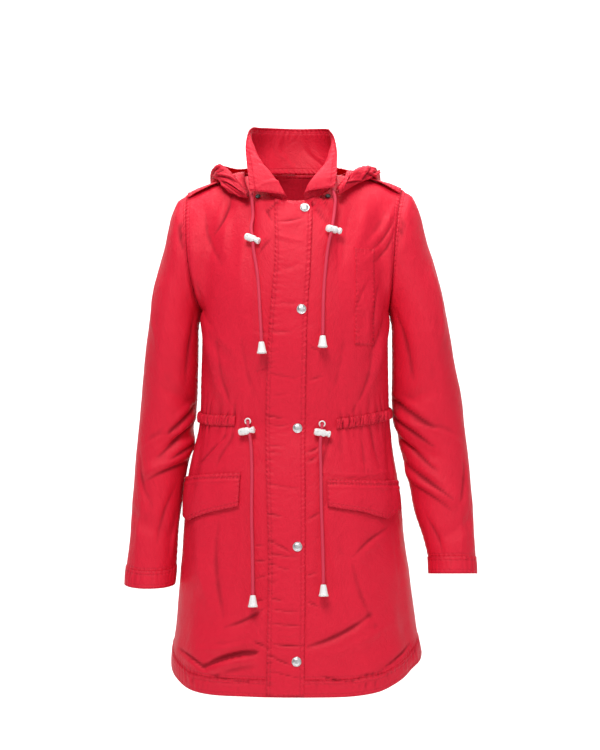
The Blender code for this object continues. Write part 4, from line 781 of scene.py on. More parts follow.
PLACKET_CREASES = (
    (-3.2, -7.8, 1, -7.2, 0.2, 3.6, -1.5, 0.6),
    (-3.1, -9.8, 0.8, -10.9, 0.2, 5, 0.9, 0.5),
    (-3.9, -15.5, 0.6, -14.6, 0.2, 6, -0.8, 0.4),
    (-4, -20.2, 0.6, -20.7, 0.2, 5, -0.9, 0.4),
    (-4.3, -25.7, -0.6, -25.1, -0.2, 4, -1, 0.6),
    (-4.3, -31.4, 0.3, -32.3, 0.2, 5, -1, 0.4),
    (-4.4, -35.2, -1, -34.6, 0.1, 4, -0.8, 0.5),
    (-4.3, -38.3, -2, -38.7, 0, 2.8, -1.6, 0.6),
    (-3.6, -39.8, -0.6, -39.4, 0.2, 3.2, -1, 0.6),
    (-4.6, -42.9, -2, -43.1, 0, 2.8, -1.5, 0.6),
    (-4.6, -43.8, -2.5, -44.1, 0, 2.6, -1.2, 0.6),
    (-4.3, -48.6, 0.7, -49.5, 0.2, 5, -1, 0.4),
    (-4.3, -53.5, -2.3, -53.8, 0, 2.8, -1.6, 0.6),
    (-4.3, -57.7, -0.6, -59.6, -0.2, 3.8, -1.6, 0.6),
    (-3.7, -59.6, 0.7, -60.2, 0.1, 3.2, -1.4, 0.6),
    (-3.9, -61.2, -0.9, -62.1, 0.1, 3.2, -1.1, 0.5),
    (-4.1, -66.4, -2, -66.9, 0, 2.8, -1.4, 0.6),
    (-3.8, -68, 0.7, -68.5, 0.2, 3.2, -1.2, 0.6),
    (-4, -70.3, 1, -70.6, 0.1, 3.2, -1.5, 0.6),
    (-3.9, -73.5, 1.1, -73.8, 0.1, 3, -2, 0.7),
    (-3.7, -75.5, -0.6, -76.7, 0.1, 3.2, -1.7, 0.6),
    (-3.1, -77.8, 0.7, -78.7, 0.1, 3.2, -1.3, 0.6),
    (-2.5, -72.1, 0.7, -71.9, 0.1, 5, 1.2, 0.3),
    (-3.1, -74.7, 0.7, -75, 0.1, 5, 1.2, 0.3),
)
# On a sleeve the first number of a place is the way round it: 0 outer, 7.5 front, 15 inner, 22.5 back.
SLEEVE_CREASES = {
    "left": (
        (3, -6.5, 8, -13, 0.6, 8, -1.8, 0.5),
        (6.5, -8, 11, -15, 0.4, 7, -1.6, 0.5),
        (9.5, -14, 13.5, -21, 0.4, 7, -1.9, 0.6),
        (1, -14, 4.5, -26, 0.8, 12, 1.6, 0.3),
        (12.5, -22, 10.5, -33, 0.6, 9, -1.7, 0.5),
        (7, -20, 6, -34, 0.8, 14, 1.5, 0.3),
        (14, -37, 8, -41.5, 0.5, 6, -2.4, 0.8),
        (14, -39.5, 7.5, -44.5, 0.5, 6, -2.6, 0.8),
        (14.5, -43, 9, -45.5, 0.3, 5.5, -2.2, 0.7),
        (13.5, -46, 6, -48.5, 0.4, 7, -2.2, 0.7),
        (10, -41, 4, -44, 0.4, 7, 1.5, 0.4),
        (3, -45, 6.5, -52, 0.6, 9, -1.5, 0.4),
        (11, -50, 8.5, -58, 0.4, 9, -1.5, 0.4),
        (5, -52, 4.5, -61, 0.4, 10, 1.4, 0.3),
        (13.5, -54, 12, -61, 0.3, 7, 1.4, 0.4),
        (20, -38, 27, -43, 0.5, 8, -2, 0.6),
        (19, -43, 26, -46, 0.5, 8, -1.8, 0.6),
        (22, -12, 24, -28, 0.8, 12, -1.6, 0.4),
        (24, -50, 25, -60, 0.4, 10, 1.4, 0.3),
    ),
    "right": (
        (3.5, -6.5, 8.5, -12, 0.6, 8, -1.6, 0.5),
        (7, -8, 12, -15.5, 0.4, 7, -1.9, 0.6),
        (10, -13.5, 14, -20, 0.4, 7, -2.2, 0.6),
        (2, -15, 5, -27, 0.8, 12, 1.6, 0.3),
        (12, -22, 9.5, -32, 0.6, 9, -1.8, 0.5),
        (7, -22, 5.5, -35, 0.8, 14, 1.6, 0.3),
        (14, -36, 7.5, -40, 0.5, 6, -2.2, 0.8),
        (14.5, -38.5, 8, -43, 0.5, 6, -2.7, 0.8),
        (14, -42, 8.5, -46.5, 0.4, 5.5, -2.5, 0.7),
        (13, -46.5, 6.5, -51.5, 0.4, 7, -2.4, 0.7),
        (12.5, -49.5, 7, -53, 0.3, 6, -1.8, 0.6),
        (9.5, -40, 3.5, -43, 0.4, 7, 1.6, 0.4),
        (3, -45.5, 5.5, -53, 0.6, 9, -1.5, 0.4),
        (5, -53, 6, -60, 0.4, 10, 1.4, 0.3),
        (11, -54.5, 9.5, -60, 0.3, 7, -1.5, 0.4),
        (20, -38, 27, -42, 0.5, 8, -2, 0.6),
        (19, -43, 26, -46.5, 0.5, 8, -1.8, 0.6),
        (22, -12, 24, -28, 0.8, 12, -1.6, 0.4),
        (24, -50, 25, -59, 0.4, 10, 1.4, 0.3),
    ),
}
# On the collar the places are the way round from its left front end, and the way up from the neckline.
COLLAR_CREASES = (
    (3, 0.5, 1, 5.5, 0.2, 4, -1.2, 0.5),
    (7, 0.5, 5, 6.5, 0.3, 6, 1.2, 0.4),
    (11, 0.5, 12.5, 7, 0.3, 6, -1.2, 0.4),
    (16, 0.5, 15, 7, 0.3, 8, 1.3, 0.4),
    (21, 0.5, 22.5, 6.5, 0.3, 7, -1.3, 0.4),
    (27, 0.5, 26, 7, 0.3, 8, 1.3, 0.4),
    (32, 0.5, 33, 7, 0.3, 6, -1.3, 0.4),
    (38, 0.5, 36.5, 6, 0.3, 5, -1.5, 0.5),
    (41, 0.5, 39.5, 5, 0.3, 3.5, 1.4, 0.5),
    (43, 0.5, 42, 4.5, 0.2, 3, -1.6, 0.6),
)
# On the hood: the way round from its left front end (60 in all) and across from its rim (16 in all).
HOOD_CREASES = (
    (1.5, 4.5, 8, 6, 0.3, 3, -3, 0.7),
    (3, 7.5, 9, 7, 0.3, 3.5, 2.4, 0.5),
    (4.5, 2, 9.5, 5, -0.3, 3, -3.4, 0.7),
    (6.5, 8.5, 12.5, 5.5, 0.3, 3.5, -3.2, 0.7),
    (8, 2.5, 12.5, 7.5, -0.3, 3.5, 2.8, 0.6),
    (10, 2, 15, 5.5, -0.4, 4, -3.6, 0.7),
    (12, 8, 17, 6, 0.4, 5, -2.6, 0.6),
    (16, 2, 24, 5, 0.6, 8, -2.6, 0.5),
    (18, 7, 27, 9.5, 0.6, 12, 2.6, 0.4),
    (22, 3, 33, 6.5, -0.7, 9, -2.8, 0.5),
    (29, 8.5, 38, 6, 0.7, 12, 2.6, 0.4),
    (36, 2.5, 44, 5.5, 0.5, 8, -2.6, 0.5),
    (26, 4, 28, 10, 0.3, 8, -1.8, 0.4),
    (33, 3, 32, 10, 0.4, 8, -1.6, 0.4),
    (43, 7, 49, 3, 0.4, 4.5, -3.4, 0.7),
    (45, 2, 51, 7, 0.4, 4, 2.8, 0.6),
    (47, 8.5, 53, 4, 0.2, 3.5, -3.4, 0.7),
    (49.5, 2, 52.5, 7.5, 0.2, 3.5, -3.2, 0.7),
    (51, 5.5, 56, 2.5, 0.3, 3, 2.4, 0.6),
    (52.5, 8, 57, 4.5, -0.2, 3, -3, 0.7),
    (54.5, 2.5, 58.5, 6.5, 0.2, 3, -2.6, 0.6),
)
# Gathers along the seams: how far they reach from the seam, their spacing and their rise, in metres,
# and the seed of their unevenness.
GATHERS = {
    "waist": (0.030, 0.019, 0.0008, 21),
    "channel": (0.013, 0.0062, 0.0006, 31),
    "over the flap": (0.006, 0.0055, 0.0007, 35),
    "hem seam": (0.011, 0.0085, 0.00055, 41),
    "panel edge": (0.008, 0.0110, 0.0002, 51),
    "hem band": (0.016, 0.0105, 0.0006, 61),
    "sleeve head": (0.016, 0.0125, 0.0005, 71),
    "armhole": (0.010, 0.0085, 0.0003, 81),
    "inner sleeve": (0.010, 0.011, 0.0002, 91),
    "cuff": (0.016, 0.0100, 0.0006, 95),
    "placket seam": (0.010, 0.0105, 0.0007, 101),
    "placket edge": (0.007, 0.0120, 0.0005, 111),
    "chest pocket": (0.006, 0.0085, 0.0005, 121),
    "pocket flap": (0.007, 0.0062, 0.0008, 131),
    "collar": (0.008, 0.0085, 0.0006, 151),
    "hood rim": (0.012, 0.0095, 0.0008, 161),
}
# Stitches of each kind of cloth: rows beside its side edges, and rows beside its ends, in metres.
STITCHES = {
    "panel": ((0.0012, 0.0066), (0.0012, 0.0066)),
    "hem": ((0.0012,), (0.0014, 0.0058)),
    "sleeve": ((), (0.0012, 0.0060)),
    "flap": ((0.0014, 0.0062), (0.0014,)),
    "pocket": ((0.0016,), (0.0016,)),
    "casing": ((), (0.0012,)),
    "collar": ((0.0016,), (0.0085,)),
    "hood": ((0.0016,), (0.0016, 0.0160)),
}
# Relief of the cloth's own surface, in metres.
RELIEF = {"soft": 0.0012, "crinkle": 0.0005, "weave": 0.00003, "grain": 0.00008, "pull": 0.00035,
          "groove": 0.00035, "thread": 0.0002}
# Its colour's tones, as shares: the cloth at its darkest and lightest, the painted shade in the stitches'
# grooves, the threads, and the painted shade in the troughs.
TONES = {"dark": 0.93, "light": 1.05, "groove": 0.62, "thread": 1.12, "painted_shade": 0.24}
PULL_PACE = 780          # radians a metre of the pulls along a seam
GROOVE_EDGES, THREAD_EDGES = (0.0002, 0.0017), (0.0003, 0.0006)   # off the middle of a row of stitches
STRANDS, STRAND_TWIST = 8 * math.pi, 1150.0      # of the braid, in radians a turn and a metre
RIDGE_PLACE = 1.4        # where a crease's ridge stands beside it, in its half-widths
SHELL = 0.0012           # wall of a visual piece
OVER = 0.0022            # an overlay's outer face above the panel under it
SUNK = 0.0010            # how much the panel gives way under the storm flap
FOLLOW = 0.55            # share of the panel's own lift that the storm flap takes over it
NOISE_CELLS = 64
SMOOTHING = 4            # points to either side that count as the cloth round a point
FULL_SHADE_DEPTH = 0.0015          # depth at which a trough is in full painted shade
FAR = 9.0                # distance given to an edge that has no seam


def crease_lift(creases, across, up):
    """Height of the cloth at places in metres: soft troughs and ridges along given lines."""
    lift = np.zeros(np.broadcast(across, up).shape)
    across, up = across * 100, up * 100
    for x1, z1, x2, z2, bend, width, rise, ridge in creases:
        run = np.array([x2 - x1, z2 - z1])
        length = math.hypot(*run)
        step = ((across - x1) * run[0] + (up - z1) * run[1]) / length**2
        held = np.clip(step, 0, 1)
        off = ((across - x1) * run[1] - (up - z1) * run[0]) / length - bend * 4 * held * (1 - held)
        reach = width / 10
        past = np.maximum(0, np.maximum(-step, step - 1)) * length
        # It is deepest at its middle and fades past its ends; across, it has a sharp foot.
        ends = bulge(past, 1.3 * reach) * (0.45 + 0.55 * np.sin(held * math.pi))
        q = off / reach
        line = np.exp(2.0 * (0.2 - np.sqrt(q * q + 0.04)))
        lift += rise * ends * (line - ridge * bulge(q - RIDGE_PLACE, 1))
    return lift / 1000


def noise(across, up, size, seed):
    """Smooth random heights from -1 to 1, with bumps of about that size."""
    cells = np.random.default_rng(seed).uniform(-1, 1, (NOISE_CELLS, NOISE_CELLS))
    a, b = np.broadcast_arrays(across / size, up / size)
    i, j = np.floor(a).astype(int), np.floor(b).astype(int)
    s, t = a - i, b - j
    s, t = s * s * (3 - 2 * s), t * t * (3 - 2 * t)

    def cell(di, dj):
        return cells[(i + di) % NOISE_CELLS, (j + dj) % NOISE_CELLS]

    low = cell(0, 0) * (1 - s) + cell(1, 0) * s
    high = cell(0, 1) * (1 - s) + cell(1, 1) * s
    return low * (1 - t) + high * t


def crumple(across, up, seed):
    """The cloth's own unevenness, in metres."""
    wide = noise(across, up, 0.045, seed) * 0.0011
    middle = noise(across + 0.3 * up, up, 0.018, seed + 1) * 0.00022
    sharp = 0.5 - np.abs(noise(across - 0.4 * up, up, 0.027, seed + 2))
    return wide + middle + sharp * 0.0004


def gathers(kind, off, along):
    """Small uneven puckers that run away from a seam, off being the distance from it."""
    reach, spacing, rise, seed = GATHERS[kind]
    drift = noise(along, off, spacing * 3, seed) * 1.2
    drift = drift + noise(along, off * 0.3, spacing * 1.3, seed + 1) * 0.5
    wave = np.sin(along / spacing * 2 * math.pi + drift * math.pi)
    strength = 0.65 + 0.55 * noise(along, 0 * off, spacing * 4, seed + 2)
    return rise * strength * wave * bulge(off, reach)


# ---- shells of cloth ----
def runs(points, axis):
    """Distance from a grid's first line to each point, along one of its axes."""
    steps = np.linalg.norm(np.diff(points, axis=axis), axis=-1)
    start = np.zeros_like(np.take(steps, [0], axis=axis))
    return np.concatenate([start, np.cumsum(steps, axis=axis)], axis=axis)


def placed(name, data):
    """A new object in the scene."""
    piece = bpy.data.objects.new(name, data)
    bpy.context.scene.collection.objects.link(piece)
    return piece


def mesh_piece(name, vertices, faces, maps, material):
    """A smooth piece; maps gives each UV map's place of every face corner."""
    mesh = bpy.data.meshes.new(name)
    mesh.from_pydata(vertices.tolist(), [], faces)
    for label, values in maps.items():
        mesh.uv_layers.new(name=label).data.foreach_set("uv", values.reshape(-1))
    mesh.update()
    mesh.shade_smooth()
    mesh.materials.append(material)
    return placed(name, mesh)


def declare(piece, slot, *nodes):
    """Says what a piece rides and what it stands for; slot is not used."""
    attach(piece, "root")
    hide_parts(*nodes)


def edge_distances(points, wrap, seams):
    """For every point: distance to the nearer side seam and to the nearer end seam.

    seams says which edges are sewn: first and last line across, first and last point along.
    """
    across, along = runs(points, 0), runs(points, 1)
    first, last = (np.where(sewn and not wrap, off, FAR)
                   for sewn, off in zip(seams, (across, across[-1:] - across)))
    top, foot = (np.where(sewn, off, FAR) for sewn, off in zip(seams[2:], (along, along[:, -1:] - along)))
    return across, along, np.minimum(first, last), np.minimum(top, foot)


def painted_trough_shade(lift, wrap):
    """How far each point lies below the cloth round it, from 0 to 1: the depth of its troughs, which sets
    the painted shade in their colour.
    """
    around = lift
    for axis, mode in ((0, "wrap" if wrap else "edge"), (1, "edge")):
        pad = [(0, 0), (0, 0)]
        pad[axis] = (SMOOTHING, SMOOTHING)
        wide = np.pad(around, pad, mode=mode)
        parts = [np.take(wide, range(k, k + lift.shape[axis]), axis=axis) for k in range(2 * SMOOTHING + 1)]
        around = sum(parts) / len(parts)
    return np.clip((around - lift - FULL_SHADE_DEPTH / 5) / FULL_SHADE_DEPTH, 0, 1)


def shell(name, points, normal, flat, painted_shade, material, wrap=False, seams=(True,) * 4, single=False):
    """A thin closed wall of cloth whose outer face is the grid.

    UV map "cloth" is the place on the piece in metres; "side" and "end" hold the distance to the
    nearer sewn edge and the run along it. flat is the smooth grid from which the run is measured. With
    single the last side edge has only the stitches that lie further in.
    """
    count, along = points.shape[:2]
    if wrap:
        flat = np.concatenate([flat, flat[:1]])
    across_run, along_run, sides, ends = edge_distances(flat, wrap, seams)
    if single:
        late = across_run > across_run[-1:] / 2
        sides = np.where(late, np.maximum(sides, 0.0034), sides)
    maps = {
        "cloth": np.stack([across_run, along_run], axis=-1),
        "side": np.stack([sides, along_run], axis=-1),
        "end": np.stack([ends, across_run], axis=-1),
    }
    rows = count if wrap else count - 1
    i, j = (k.ravel() for k in np.meshgrid(np.arange(rows), np.arange(along - 1), indexing="ij"))
    last = np.zeros_like(i)
    outer = np.stack([i, j + 1, last, i + 1, j + 1, last, i + 1, j, last, i, j, last], axis=-1)
    outer = outer.reshape(-1, 4, 3)
    inner = outer[:, ::-1] + (0, 0, 1)
    k, m = np.arange(rows), np.arange(along - 1)

    def rim(first, second):
        """Faces between the two walls along a line of points given by its two ends' indices."""
        corners = [(*first, 1), (*second, 1), (*second, 0), (*first, 0)]
        return np.stack([np.stack(np.broadcast_arrays(*corner), axis=-1) for corner in corners], axis=1)

    faces = [outer, inner, rim((k + 1, 0), (k, 0)), rim((k, along - 1), (k + 1, along - 1))]
    if not wrap:
        faces += [rim((0, m), (0, m + 1)), rim((count - 1, m + 1), (count - 1, m))]
    corners = np.concatenate(faces)
    index = (corners[..., 0] % count) * along + corners[..., 1] + corners[..., 2] * count * along
    vertices = np.concatenate([points.reshape(-1, 3), (points - normal * SHELL).reshape(-1, 3)])
    maps = {label: values[corners[..., 0], corners[..., 1]] for label, values in maps.items()}
    piece = mesh_piece(name, vertices, index.tolist(), maps, material)
    # Painted shade: how far the colour is darkened at each point of the outer face, in the troughs and
    # wherever more is given.
    depth = piece.data.attributes.new("painted_shade", "FLOAT", "POINT")
    depth.data.foreach_set("value", np.concatenate([painted_shade.ravel(), np.zeros(painted_shade.size)]))
    return piece


def cloth(name, flat, lift, material, held, rests_on=(), nodes=(), **options):
    """The visual piece of CAD nodes: their smooth grid raised by the lift, set in the nodes' stead."""
    wrap = options.get("wrap", False)
    normal = options.pop("normal", None)
    # shade: a share of painted shade that is given, added to that of the troughs.
    shade = options.pop("shade", 0)
    if normal is None:
        normal = normals(flat, wrap)
    raised_points = flat + normal * lift[..., None]
    # Painted shade in the troughs, with any shade given added to it.
    piece = shell(f"{name}_cloth", raised_points, normals(raised_points, wrap), flat,
                  np.clip(painted_trough_shade(lift, wrap) + shade, 0, 1), material, **options)
    declare(piece, "shell_cloth", *(nodes or (name,)))
    # Gathered cloth was cut as long as its puckers are.
    whole = raised_points if held == "gathered" else flat
    whole = np.concatenate([whole, whole[:1]]) if wrap else whole
    return piece


# ---- shaders ----
class Wire:
    """A socket of a material's node tree, with which sums are written as plain expressions."""

    def __init__(self, tree, socket=None):
        self.tree = tree
        self.socket = socket

    def node(self, kind, settings, inputs, output=0):
        """A new node: its settings first, then the values or wires of its inputs."""
        made = self.tree.nodes.new(kind)
        for name, value in settings.items():
            setattr(made, name, value)
        for name, value in inputs.items():
            if isinstance(value, Wire):
                self.tree.links.new(value.socket, made.inputs[name])
            else:
                made.inputs[name].default_value = value
        return Wire(self.tree, made.outputs[output])

    def maths(self, operation, first, second=0.0):
        return self.node("ShaderNodeMath", {"operation": operation}, {0: first, 1: second})

    def __add__(self, other):
        return self.maths("ADD", self, other)

    def __sub__(self, other):
        return self.maths("SUBTRACT", self, other)

    def __rsub__(self, other):
        return self.maths("SUBTRACT", other, self)

    def __mul__(self, other):
        return self.maths("MULTIPLY", self, other)

    __radd__ = __add__
    __rmul__ = __mul__

    def size(self):
        return self.maths("ABSOLUTE", self)

    def sine(self):
        return self.maths("SINE", self)

    def smooth(self, low, high):
        """0 below low, 1 above high, and a smooth step between."""
        settings = {"interpolation_type": "SMOOTHSTEP"}
        return self.node("ShaderNodeMapRange", settings, {0: self, 1: low, 2: high})

    def parts(self):
        """The first two coordinates of a vector."""
        split = self.node("ShaderNodeSeparateXYZ", {}, {0: self}).socket.node
        return Wire(self.tree, split.outputs[0]), Wire(self.tree, split.outputs[1])

    def mixed(self, low, high):
        """A colour between two others, this wire being the share of the second."""
        return self.node("ShaderNodeMix", {"data_type": "RGBA"}, {0: self, 6: low, 7: high}, output=2)

    def cloudy(self, scale, detail=2.0, distortion=0.0):
        """Noise from 0 to 1 over this wire's coordinates."""
        inputs = {"Vector": self, "Scale": scale, "Detail": detail, "Distortion": distortion}
        return self.node("ShaderNodeTexNoise", {}, inputs)


def new_material(name, constants):
    """A material, its Principled node and a wire to start from; constants are the node's fixed inputs."""
    material = bpy.data.materials.new(name)
    material.use_nodes = True
    tree = material.node_tree
    shader = tree.nodes["Principled BSDF"]
    for socket, value in constants.items():
        shader.inputs[socket].default_value = value
    return material, shader, Wire(tree)


def connect(shader, wire, socket):
    wire.tree.links.new(wire.socket, shader.inputs[socket])


def bump(start, height):
    """Normal of a surface that is raised by the wire's height in metres."""
    return start.node("ShaderNodeBump", {}, {"Strength": 1.0, "Distance": 1.0, "Height": height})


def tone(colour, factor):
    return (*(min(1.0, channel * factor) for channel in colour), 1.0)


def sewing(distance, run, rows, spacing):
    """Rows of stitches beside a seam: the groove they pull in, and the threads that show in it."""
    groove, thread = 0.0, 0.0
    dash = (run * (2 * math.pi / spacing)).sine().smooth(-0.5, 0.1)
    for row in rows:
        off = (distance - row).size()
        groove = groove + (1 - off.smooth(*GROOVE_EDGES))
        thread = thread + (1 - off.smooth(*THREAD_EDGES)) * dash
    return groove, thread


def make_cloth(name, options, side_rows, end_rows):
    """Coated cloth: a fine plain weave, soft crumples, and stitches along the sewn edges, with painted shade
    in the stitches' grooves and in the troughs.
    """
    material, shader, start = new_material(name, {"Specular IOR Level": 0.2})
    place = start.node("ShaderNodeUVMap", {"uv_map": "cloth"}, {})
    x, y = place.parts()
    weave = (x * (2 * math.pi / options.weave)).sine() * (y * (2 * math.pi / options.weave)).sine()
    soft = place.cloudy(70.0, 4.0, 0.6)
    crinkle = 1 - (place.cloudy(130.0, 3.0, 1.2) * 2 - 1).size()
    grain = place.cloudy(900.0, 2.0)
    height = soft * RELIEF["soft"] + crinkle * RELIEF["crinkle"] + weave * RELIEF["weave"]
    height = height + grain * RELIEF["grain"]
    groove, thread = 0.0, 0.0
    for label, rows in (("side", side_rows), ("end", end_rows)):
        if rows:
            distance, run = start.node("ShaderNodeUVMap", {"uv_map": label}, {}).parts()
            more_groove, more_thread = sewing(distance, run, rows, options.stitch)
            groove = groove + more_groove
            thread = thread + more_thread
            pull = (run * PULL_PACE + soft * 9).sine() * (1 - distance.smooth(0.001, 0.011))
            height = height + pull * RELIEF["pull"]
    painted_shade = start.node("ShaderNodeAttribute", {"attribute_name": "painted_shade"}, {}, output=2)
    shade = soft * 0.5 + crinkle * 0.3 + grain * 0.2
    tones = {part: tone(options.cloth_colour, share) for part, share in TONES.items()}
    base = shade.mixed(tones["dark"], tones["light"])
    if side_rows or end_rows:
        height = height - groove * RELIEF["groove"] + thread * RELIEF["thread"]
        # Painted shade in the stitches' grooves, then the lighter threads in them.
        base = (groove * 0.30).mixed(base, tones["groove"])
        base = (thread * 0.5).mixed(base, tones["thread"])
    # Painted shade: the colour is darkened in the troughs, and under the hood's collar.
    base = (painted_shade * 0.75).mixed(base, tones["painted_shade"])
    connect(shader, base, "Base Color")
    rough = soft * 0.10 + grain * 0.06 + painted_shade * 0.3 + (options.cloth_roughness - 0.08)
    connect(shader, rough, "Roughness")
    connect(shader, bump(start, height), "Normal")
    return material


def make_braid(name, options):
    """Braided cord: two sets of strands that cross, on a UV map of turns round and metres along."""
    colour = options.cord_colour
    material, shader, start = new_material(name, {"Specular IOR Level": 0.1})
    turn, along = start.node("ShaderNodeUVMap", {"uv_map": "cloth"}, {}).parts()
    left = (turn * STRANDS + along * STRAND_TWIST).sine()
    right = (turn * STRANDS - along * STRAND_TWIST).sine()
    strand = left.maths("MAXIMUM", left, right)
    fuzz = start.node("ShaderNodeTexCoord", {}, {}, output=3).cloudy(1800.0, 3.0)
    base = (strand * 0.4 + fuzz * 0.4 + 0.1).mixed(tone(colour, 0.72), tone(colour, 1.1))
    connect(shader, base, "Base Color")
    connect(shader, fuzz * 0.2 + 0.5, "Roughness")
    connect(shader, bump(start, strand * 0.00012 + fuzz * 0.00004), "Normal")
    return material


def make_hard(name, fixed, dark, light, scale, detail, spread, least, grain):
    """A moulded or plated finish: clouds vary its colour, its roughness from the least by the spread,
    and its surface by the grain in metres."""
    material, shader, start = new_material(name, fixed)
    clouds = start.node("ShaderNodeTexCoord", {}, {}, output=3).cloudy(scale, detail)
    connect(shader, clouds.mixed(dark, light), "Base Color")
    connect(shader, clouds * spread + least, "Roughness")
    if grain:
        connect(shader, bump(start, clouds * grain), "Normal")
    return material


def make_backdrop(name):
    """White paper that glows a little, so that its far wall is as bright as its floor."""
    material, shader, start = new_material(name, {"Specular IOR Level": 0.1, "Emission Strength": 0.12})
    clouds = start.node("ShaderNodeTexCoord", {}, {}, output=3).cloudy(1.5, 2.0)
    connect(shader, clouds.mixed((0.90, 0.90, 0.90, 1), (0.95, 0.95, 0.95, 1)), "Base Color")
    connect(shader, clouds * 0.1 + 0.8, "Roughness")
    connect(shader, clouds.mixed((0.95, 0.95, 0.95, 1), (1, 1, 1, 1)), "Emission Color")
    return material


def material_of(name, maker, *arguments):
    """The material of that name, made once."""
    return bpy.data.materials.get(name) or maker(name, *arguments)


def cloth_material(kind, options):
    return material_of(f"{kind} cloth", make_cloth, options, *STITCHES[kind])


def white_plastic(options):
    """Glossy moulded plastic."""
    colour = options.plastic_colour
    return material_of("white plastic", make_hard, {"Coat Weight": 0.25, "Coat Roughness": 0.12},
                       tone(colour, 0.95), tone(colour, 1.03), 260.0, 3.0, 0.12, 0.22, 0.00006)


def dark_plastic():
    """Duller moulded plastic."""
    return material_of("dark plastic", make_hard, {"Specular IOR Level": 0.4}, (0.012, 0.016, 0.015, 1),
                       (0.03, 0.036, 0.034, 1), 300.0, 3.0, 0.15, 0.35, 0)


def bright_metal(options):
    """Plated metal with a little wear."""
    colour = options.metal_colour
    return material_of("bright metal", make_hard, {"Metallic": 1.0}, tone(colour, 0.86),
                       tone(colour, 1.08), 420.0, 4.0, 0.15, 0.32, 0.00005)


def built(build, context):
    """Builds a group of pieces with the scene's settings, and says that it is done."""
    build(context.scene.raincoat)
    return {"FINISHED"}


# ---- how each piece's cloth lies ----
def panel_run(side, back, u):
    """Metres round the body from the centre front, less than 0 on the left."""
    return (2 - u if back else u) * SIDES[side] * METRES_PER_TURN


def row_at(side, u, height):
    """The panel coordinate v of a height below the armpits."""
    return 1 + (height - BUST) / (hem_height(side, u) + HEM_BAND - BUST)


def waist_height(side, back, u):
    heights = CASINGS[side]["height"]
    if back:
        return heights[-1] + WAIST_RISE * (1 - u) ** 2
    return spline(CASINGS[side]["u"], heights, u)


def panel_lift(side, back, u, v, points, options):
    """How far the cloth of a front or the back stands off its smooth form."""
    u, v = np.broadcast_arrays(u, v)
    x, height = points[..., 0], points[..., 2]
    run = panel_run(side, back, u)
    lift = crease_lift(BACK_CREASES if back else FRONT_CREASES, x, height) * options.creases
    lift += crumple(run, height, 3) * options.crumples
    off = height - waist_height(side, back, u)
    drawn = gathers("waist", off, run) + gathers("channel", off, run)
    start = 0 if back else CASINGS[side]["u"][0]
    lift += drawn * smooth_step(start - 0.14, start + 0.04, u) * options.puckers
    if side == "right" and not back:
        over_flap = smooth_step(0.14, 0.18, u) * (1 - smooth_step(0.82, 0.86, u))
        lift += gathers("over the flap", height - FLAP_SEAM, run) * over_flap * options.puckers
    hem = height - hem_height(side, u) - HEM_BAND
    lift += gathers("hem seam", hem, run) * options.puckers
    edge = np.minimum((1 - u) * METRES_PER_TURN, np.where(u > NECK_SHARE, v * 0.22, 1))
    seam = gathers("panel edge", edge, height + x) * options.puckers
    return lift * smooth_step(-0.002, 0.012, edge) + seam


def placket_edges(height):
    return tuple(spline(PLACKET["height"], PLACKET[edge], height) for edge in ("left", "right"))


def under_placket(points):
    """1 under the storm flap, 0 beside it."""
    x, height = points[..., 0], points[..., 2]
    left, right = placket_edges(height)
    inside = np.minimum(x - left, right - x)
    return smooth_step(-0.001, 0.007, inside) * (height < PLACKET["height"][-1] + 0.004)


# How many lines of points each piece has across and along.
FRONT_COLUMNS, PANEL_ROWS, BACK_COLUMNS, BACK_ROWS, BAND_STEPS = 92, 300, 80, 210, 18
SLEEVE_COLUMNS, SLEEVE_STEPS, CAP_STEPS, CUFF_STEPS = 96, 170, 45, 16
PLACKET_COLUMNS, PLACKET_ROWS, PLACKET_FOOT_ROWS = 30, 330, 9
FLAP_COLUMNS, FLAP_ROWS, WELT_COLUMNS, WELT_ROWS = 64, 44, 26, 90
CASING_COLUMNS, BACK_CASING_COLUMNS, CASING_ROWS = 110, 130, 17
COLLAR_COLUMNS, COLLAR_STEPS, HOOD_COLUMNS_SHOWN, HOOD_STEPS = 210, 44, 210, 74
EPAULETTE_COLUMNS, EPAULETTE_ROWS = 60, 21
CHEST_SHARE = 0.27       # share of a panel's rows that lie above the armpits
HEAD_RISE = 0.0085       # rounding of the sleeve's head
CUFF_STAND = 0.0010      # a cuff or band stands off the cloth that it is sewn to
WELT_STAND = 0.0008
FLAP_STAND, FLAP_FALL = 0.0014, 0.0022   # a pocket flap stands off at its seam, and more at its edge
FREE_EDGE, GAPE = 0.0030, 0.0012   # rise of the storm flap's free edge near the collar and between snaps
CASING_SWELL = (0.62, 0.8)         # shares of the channel's full height in front and behind
PUCKER_PITCH, PUCKER_SLANT = 0.0058, 0.0022
HOOD_RUN, HOOD_WIDTH = 0.30, 0.16  # of half the hood round its rim, and across, for its creases
HIDDEN_SHARE = 0.85                # how much of the creases the hood's layer under the collar loses
DEEPEST = -0.0026                  # no trough of the hood sinks below this


def fine_columns(count):
    neck = max(4, round(count * 0.26))
    return np.concatenate([
        np.linspace(0, NECK_SHARE, neck + 1)[:-1], np.linspace(NECK_SHARE, 1, count - neck)
    ])


def fine_rows(count):
    chest = round(count * CHEST_SHARE)
    return np.concatenate([np.linspace(0, 1, chest + 1)[:-1], np.linspace(1, 2, count - chest)])


